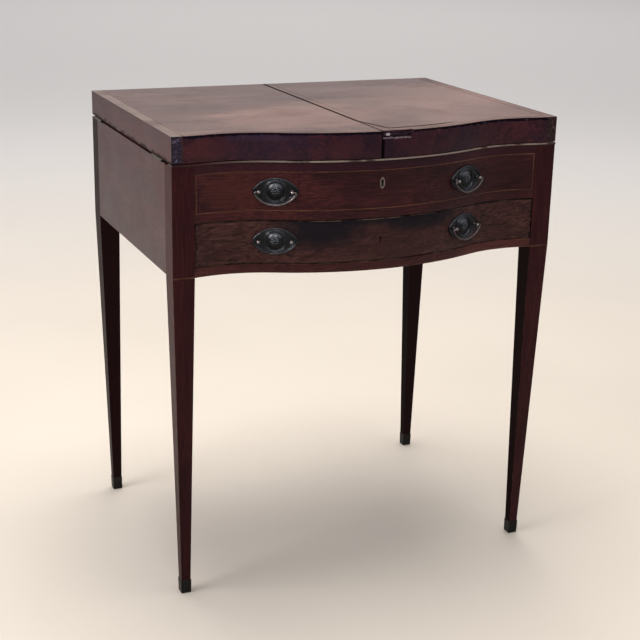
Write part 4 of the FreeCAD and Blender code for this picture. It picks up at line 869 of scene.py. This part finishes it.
class ChipLeaf(bpy.types.Operator):
    """Break the top corner of the right leaf's lipping away beside the seam"""

    bl_idname = "table.chip_leaf"
    bl_label = "Chip the right leaf"

    STEPS = 60
    # How far the tool reaches out past the lipping's front, top and end.
    PAST_FRONT, PAST_TOP, PAST_END = 0.004, 0.002, 0.002
    # How finely the chip's floor and back are broken, in features to the metre.
    FLOOR_SCALE, BACK_SCALE = 130, 90

    def ring(self, share):
        """Give the tool's outline at a share of the chip's length: a ledge that rises to the back."""
        length, height, depth = sizes().chip_length, sizes().chip_height, sizes().chip_depth
        x = LIPPING_LOW.x - self.PAST_END + share * (length + self.PAST_END)
        y = FRONT + BULGE_RADIUS - math.sqrt(BULGE_RADIUS ** 2 - x * x)
        ragged = noise.fractal(Vector((x * self.FLOOR_SCALE, 0.3, 0.7)), 0.7, 2.0, 4)
        wavy = noise.noise(Vector((x * self.BACK_SCALE, 5.2, 1.1)))
        fade = min(1.0, (1 - share) * 16) ** 0.5
        floor = LEAF_TOP - height * fade * (0.92 + 0.1 * ragged) - 0.00002
        inner = y + depth * (0.35 + 0.65 * fade) * (0.9 + 0.3 * wavy)
        points = (
            (y - self.PAST_FRONT, floor - 0.0007),
            (y + 0.0008, floor),
            (y + (inner - y) * 0.6, floor + 0.0004),
            (inner, floor + 0.0016 + 0.0004 * ragged),
            (inner + 0.0006, LEAF_TOP - 0.002),
            (inner + 0.0011, LEAF_TOP + self.PAST_TOP),
            (y - self.PAST_FRONT, LEAF_TOP + self.PAST_TOP),
        )
        return [(x, *point) for point in points]

    def tool(self):
        """Make the closed shape that is cut away, finished as the wood that it bares."""
        shape = bmesh.new()
        rings = [[shape.verts.new(point) for point in self.ring(step / self.STEPS)]
                 for step in range(self.STEPS + 1)]
        for first, second in zip(rings, rings[1:]):
            for index in range(len(first)):
                after = (index + 1) % len(first)
                shape.faces.new((first[index], first[after], second[after], second[index]))
        shape.faces.new(rings[0])
        shape.faces.new(reversed(rings[-1]))
        bmesh.ops.recalc_face_normals(shape, faces=shape.faces)
        return object_from("chip tool", shape, self.torn())

    def torn(self):
        """Finish torn wood: paler on its up-facing ledge, which is painted light, with one bright splinter.
        """
        wood = Wood("torn mahogany", ACROSS, TORN_TONES, contrast=3.4)
        end = LIPPING_LOW.x + sizes().chip_length
        broken = wood.cloud(110).rising(0.27, 0.42) * wood.x.falling(end - 0.006, end - 0.003)
        # Pale broken fibres, laid only where the ledge faces up: painted light on the ledge.
        wood.mark(wood.upward.rising(0.25, 0.7) * broken * 0.9, TORN_PALE, rough=0.2)
        wood.mark(wood.patch(LIPPING_LOW.x + 0.011, LEAF_TOP - 0.0066, 0.005, 0.0026, 0.35), SPLINTER)
        wood.rough = wood.rough + 0.2
        wood.dull = broken.falling(0, 1) * 0.3 + 0.5
        return wood.polished(0.2, 0.0005)

    def execute(self, context):
        source = frame["nodes"]["right_lid_front_lipping"]
        piece = object_from("chipped_right_lipping", node_shape(source), source.material_slots[0].material)
        tool = self.tool()
        cut = piece.modifiers.new("Chip", "BOOLEAN")
        cut.operation = "DIFFERENCE"
        cut.solver = "EXACT"
        cut.material_mode = "TRANSFER"
        cut.object = tool
        bpy.context.view_layer.update()
        chipped = bpy.data.meshes.new_from_object(piece.evaluated_get(bpy.context.evaluated_depsgraph_get()))
        piece.modifiers.clear()
        piece.data = chipped
        bpy.data.objects.remove(tool)
        rounded(piece, sizes().arris * CHIP_SHARE)
        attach(piece, "right_lid")
        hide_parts("right_lid_front_lipping")
        return {"FINISHED"}


class FinishInside(bpy.types.Operator):
    """Finish what the leaves and the drawer hide: linings, partitions, back and mirror"""

    bl_idname = "table.finish_inside"
    bl_label = "Finish the inside"

    def execute(self, context):
        oak = tuples("oak")[0]
        for name, along, cast, nodes in (
                ("old oak across", ACROSS, LINING_TINT, ("drawer_back", "well_floor", "drawer_bottom")),
                ("old oak lengthways", DEEP, LINING_TINT, (
                    "left_drawer_runner", "right_drawer_runner", "drawer_stops", "drawer_left_side",
                    "drawer_right_side", "mirror_backboard")),
                ("old backboard", ACROSS, BACKBOARD_TINT, ("back_panel",))):
            shaded = [part * tint for part, tint in zip(oak, cast)]
            wood = Wood(name, along, [scaled(shaded, share) for share in OAK_SHARES], figure=3.5)
            wood.mark(wood.cloud(12, 5.0, 0.7).rising(0.5, 0.75) * 0.6, scaled(oak, 0.35), rough=0.1)
            wood.rough = wood.rough + 0.28
            paint(wood.polished(level=0.3), *nodes)
        fittings = Wood("inner mahogany", DEEP, INNER_TONES)
        fittings.wear(amount=0.7)
        paint(fittings.polished(), "well_partitions", "cross_partitions", "mirror_frame", "mirror_strut",
              "mirror_ratchet_racks")
        glass = Finish("old silvered glass")
        foxed = glass.cloud(28, 6.0, 0.7).rising(0.6, 0.7) * glass.cloud(5, 2.0).rising(0.4, 0.6)
        paint(glass.surface({"Specular IOR Level": 0.5}, {
            "Base Color": glass.blend(foxed, SILVERING, FOXING),
            "Metallic": 1 - foxed * 0.8,
            "Roughness": 0.03 + foxed * 0.4,
        }), "mirror_glass")
        return {"FINISHED"}


class FinishMetal(bpy.types.Operator):
    """Finish the stamped plates, posts, bails, hinges, locks and screws"""

    bl_idname = "table.finish_metal"
    bl_label = "Finish the metal"

    def dress(self, corner, material):
        """Raise a plate's rim, rings and small centre rosette in rubbed metal."""
        row, side = corner.split("_")
        pivots = {joint["child"]: joint for joint in frame["joints"]}
        hung = pivots[f"upper_{side}_bail"]
        axis = Vector(hung["axis"])
        out = Vector((-axis.y, axis.x, 0))
        middle = Vector(hung["pos_m"]) - out * POST_STANDOFF
        if row == "lower":
            middle.z = pivots["lower_right_bail"]["pos_m"][UP]
        meeting = (MEETING - abs(middle.x)) / -out.y

        def bow(along):
            """Give how far the board's face stands out of the plane through the handle's middle."""
            outer = along * SIDES[side]
            if outer <= meeting:
                return -along * along / (2 * BULGE_RADIUS)
            past = outer - meeting
            bulging = -meeting * meeting / 2 - meeting * past
            return bulging / BULGE_RADIUS + past * past / (2 * HOLLOW_RADIUS)

        def spot(along, above, rise):
            """Give the place so far along the handle, above its middle and out from it."""
            return middle - axis * along + Vector((0, 0, above)) + out * rise

        def dome(reach):
            """Give the round boss's height at a reach from its middle."""
            return BOSS_TOP - BOSS_SPHERE + math.sqrt(BOSS_SPHERE ** 2 - reach * reach)

        def ring(reach, rise):
            """Run round the boss."""
            turns = (2 * math.pi * step / 96 for step in range(96))
            return [spot(reach * math.cos(turn), reach * math.sin(turn), rise) for turn in turns]

        def outline(inset, rise):
            """Run round the plate's pointed oval, inset from its edge."""
            tip, wide, drop = PLATE_TIP - inset, PLATE_ARC - inset, PLATE_ARC - PLATE_CROWN
            lean = math.atan2(drop, POST_PLACE)
            points = []
            for across, above, radius, low, high, steps in (
                    (0, -drop, wide, lean, math.pi - lean, 48),
                    (-POST_PLACE, 0, tip, math.pi - lean, math.pi + lean, 16),
                    (0, drop, wide, math.pi + lean, 2 * math.pi - lean, 48),
                    (POST_PLACE, 0, tip, -lean, lean, 16)):
                for step in range(steps):
                    turn = low + (high - low) * step / steps
                    along = across + radius * math.cos(turn)
                    points.append(spot(along, above + radius * math.sin(turn), rise + bow(along)))
            return points

        shape = bmesh.new()
        wires = [(outline(inset, rise), radius) for inset, rise, radius in EDGE_WIRES]
        wires += [(ring(reach, rise), radius) for reach, rise, radius in RING_WIRES]
        wires.append((ring(EYE_REACH, dome(EYE_REACH)), EYE_RADIUS))
        for path, radius in wires:
            self.wire(shape, path, out, radius)
        slope = math.asin(PETAL_PLACE / BOSS_SPHERE)
        for petal in range(PETALS):
            turn = 2 * math.pi * petal / PETALS
            place = spot(PETAL_PLACE * math.cos(turn), PETAL_PLACE * math.sin(turn),
                         dome(PETAL_PLACE) - PETAL_SINK)
            away = -axis * math.cos(turn) + Vector((0, 0, math.sin(turn)))
            outward = away * math.cos(slope) - out * math.sin(slope)
            proud = away * math.sin(slope) + out * math.cos(slope)
            sideways = proud.cross(outward)
            for vertex in bmesh.ops.create_uvsphere(shape, u_segments=12, v_segments=8, radius=1.0)["verts"]:
                width = PETAL_WIDTH * (1.0 + PETAL_WIDENING * vertex.co.x)
                vertex.co = (place + outward * (vertex.co.x * PETAL_LENGTH)
                             + sideways * (vertex.co.y * width) + proud * (vertex.co.z * PETAL_RISE))
        piece_from(f"{corner}_relief", shape, material, "drawer" if row == "lower" else "case")

    @staticmethod
    def wire(shape, path, out, radius, around=8):
        """Bend a round wire along a closed path."""
        rings = []
        for index, point in enumerate(path):
            ahead = (path[(index + 1) % len(path)] - path[index - 1]).normalized()
            across = ahead.cross(out).normalized()
            turns = (2 * math.pi * step / around for step in range(around))
            rings.append([shape.verts.new(point + radius * (across * math.cos(turn) + out * math.sin(turn)))
                          for turn in turns])
        for index, ring in enumerate(rings):
            for step in range(around):
                after = (step + 1) % around
                shape.faces.new((rings[index - 1][step], rings[index - 1][after], ring[after], ring[step]))

    def metal(self, name, dirt, bright, low, high, roughness, painted_highlight=None):
        """Make a metal with soft tarnish and rubbed patches, painted shade underneath and a painted highlight
        on its crowns.
        """
        finish = Finish(name)
        tarnish = finish.cloud(90, 4.0, 0.55)
        rubbed = tarnish.rising(low, high)
        speck = finish.cloud(900, 2.0).rising(0.6, 0.75)
        tint = finish.blend(rubbed, dirt, bright)
        tint = finish.blend(speck * 0.2, tint, dirt)
        # Painted shade on faces that look down, and a painted highlight on faces that look up.
        tint = finish.blend(finish.upward.falling(-0.55, 0.75) * 0.85, tint, scaled(dirt, 0.35))
        tint = finish.blend(finish.upward.rising(0.22, 0.62) * 0.85, tint, painted_highlight or bright)
        return finish.surface({}, {
            "Base Color": tint,
            "Metallic": 0.8 + rubbed * 0.2,
            "Roughness": roughness + 0.12 - rubbed * 0.12 + speck * 0.08,
        }, tarnish * 0.5 + speck * 0.3, 0.0001, 0.4)

    def execute(self, context):
        bronze, brass = tuples("bronze", "brass")
        # The plates and reliefs take their last colour as the painted highlight on their crowns.
        plate = self.metal("tarnished bronze", scaled(bronze, 0.4), scaled(bronze, 1.1), 0.35, 0.75, 0.27,
                           scaled(bronze, 4))
        paint(plate, *(f"{corner}_backplate" for corner in PLATES))
        bail = self.metal("rubbed bronze bails", BAIL_DIRT, BAIL_BRIGHT, 0.3, 0.6, 0.27)
        paint(bail, *(f"{corner}_bail" for corner in BAILS))
        posts = self.metal("rubbed silvery posts", POST_DIRT, POST_BRIGHT, 0.3, 0.55, 0.24)
        paint(posts, "upper_handle_posts", "lower_handle_posts")
        rubbed = self.metal("rubbed brass", scaled(brass, 0.25), brass, 0.3, 0.6, 0.28)
        paint(rubbed, "upper_handle_nuts", "lower_handle_nuts", "mirror_pivot_pins", "lid_lock_strike_plate")
        hinge = self.metal("dull hinge brass", scaled(brass, 0.12), scaled(brass, 0.7), 0.35, 0.7, 0.36)
        paint(hinge, "hinge_case_leaves", "left_lid_hinge_leaves", "right_lid_hinge_leaves")
        iron = self.metal("old iron", IRON_DIRT, IRON_BRIGHT, 0.4, 0.65, 0.4)
        paint(iron, "lid_lock_case", "lid_lock_bolt", "drawer_lock_case", "drawer_lock_bolt", "hinge_pins",
              "hinge_case_screws", "left_lid_hinge_screws", "right_lid_hinge_screws")
        raised = self.metal("rubbed bronze reliefs", scaled(bronze, 0.7), scaled(bronze, 1.6), 0.3, 0.7, 0.25,
                            scaled(bronze, 6.5))
        for corner in PLATES:
            self.dress(corner, raised)
        return {"FINISHED"}


class SetStage(bpy.types.Operator):
    """Lay a plain pale floor, light it softly and set the camera"""

    bl_idname = "table.set_stage"
    bl_label = "Set the studio"

    def floor(self):
        """Lay a wide round floor that pales with distance."""
        ground = Finish("studio floor")
        near = tuples("floor")[0]
        tint = ground.blend(ground.cloud(1.3).rising(0.3, 0.7), near, scaled(near, 0.96))
        distance = ground.vector("LENGTH", ground.place, (0, 0, 0), "Value")
        tint = ground.blend(distance.rising(1.2, 4.5), tint, *tuples("backdrop"))
        material = ground.surface({"Specular IOR Level": 0.15, "Emission Strength": 1.0}, {
            "Base Color": tint,
            "Emission Color": ground.blend(distance.rising(14.0, 32.0), (0, 0, 0), FAR_GLOW),
            "Roughness": 0.75 + ground.cloud(30) * 0.1,
        })
        shape = bmesh.new()
        bmesh.ops.create_circle(shape, cap_ends=True, segments=96, radius=FLOOR_RADIUS)
        floor = object_from("studio_floor", shape, material)

    def lights(self, scene):
        """Light the room softly from all round, and hang the lamps."""
        world = bpy.data.worlds.new("studio air")
        scene.world = world
        world.use_nodes = True
        background = world.node_tree.nodes["Background"]
        background.inputs["Color"].default_value = (*tuples("air")[0], 1)
        background.inputs["Strength"].default_value = AIR_STRENGTH
        for lamp in LAMPS:
            made = bpy.data.lights.new(lamp.name, "AREA")
            made.shape = "DISK"
            made.size = lamp.size
            made.energy = lamp.power
            made.color = lamp.tone
            light = bpy.data.objects.new(lamp.name, made)
            light.location = lamp.place
            towards = Vector(lamp.target) - Vector(lamp.place)
            light.rotation_euler = towards.to_track_quat("-Z", "Y").to_euler()
            light.visible_camera = False
            light.visible_glossy = lamp.name != "overhead"
            scene.collection.objects.link(light)

    def camera(self, scene):
        """Set the camera where the photograph was taken from."""
        yaw, pitch, roll = (math.radians(angle) for angle in (CAMERA_YAW, CAMERA_PITCH, CAMERA_ROLL))
        ahead = Vector((math.sin(yaw) * math.cos(pitch), math.cos(yaw) * math.cos(pitch), -math.sin(pitch)))
        level = Vector((math.cos(yaw), -math.sin(yaw), 0))
        over = level.cross(ahead)
        right = math.cos(roll) * level + math.sin(roll) * over
        top = math.cos(roll) * over - math.sin(roll) * level
        lens = bpy.data.cameras.new("camera")
        lens.sensor_width = SENSOR_WIDTH
        lens.lens = FOCAL_PIXELS * SENSOR_WIDTH / IMAGE_PIXELS
        camera = bpy.data.objects.new("camera", lens)
        camera.matrix_world = Matrix((right, top, -ahead)).transposed().to_4x4()
        camera.location = CAMERA_PLACE
        scene.collection.objects.link(camera)
        scene.camera = camera

    def execute(self, context):
        self.floor()
        self.lights(context.scene)
        self.camera(context.scene)
        context.scene.view_settings.view_transform = "Standard"
        return {"FINISHED"}


OPERATORS = (PolishCase, PolishLids, FinishInside, FinishMetal, ChipLeaf, RoundArrises, SetStage)


class TablePanel(bpy.types.Panel):
    """List the steps, sizes and colours"""

    bl_idname = "VIEW3D_PT_dressing_table"
    bl_label = "Dressing table"
    bl_space_type = "VIEW_3D"
    bl_region_type = "UI"
    bl_category = "Table"

    def draw(self, context):
        for operator in OPERATORS:
            self.layout.operator(operator.bl_idname)
        for group in (context.scene.table_sizes, context.scene.table_colours):
            for name in group.__annotations__:
                self.layout.prop(group, name)


CLASSES = (TableSizes, TableColours, *OPERATORS, TablePanel)


def register():
    for kind in CLASSES:
        bpy.utils.register_class(kind)
    bpy.types.Scene.table_sizes = bpy.props.PointerProperty(type=TableSizes)
    bpy.types.Scene.table_colours = bpy.props.PointerProperty(type=TableColours)


def unregister():
    del bpy.types.Scene.table_colours
    del bpy.types.Scene.table_sizes
    for kind in reversed(CLASSES):
        bpy.utils.unregister_class(kind)


def main():
    register()
    for operator in OPERATORS:
        group, name = operator.bl_idname.split(".")
        getattr(getattr(bpy.ops, group), name)()


if __name__ == "__main__":
    main()
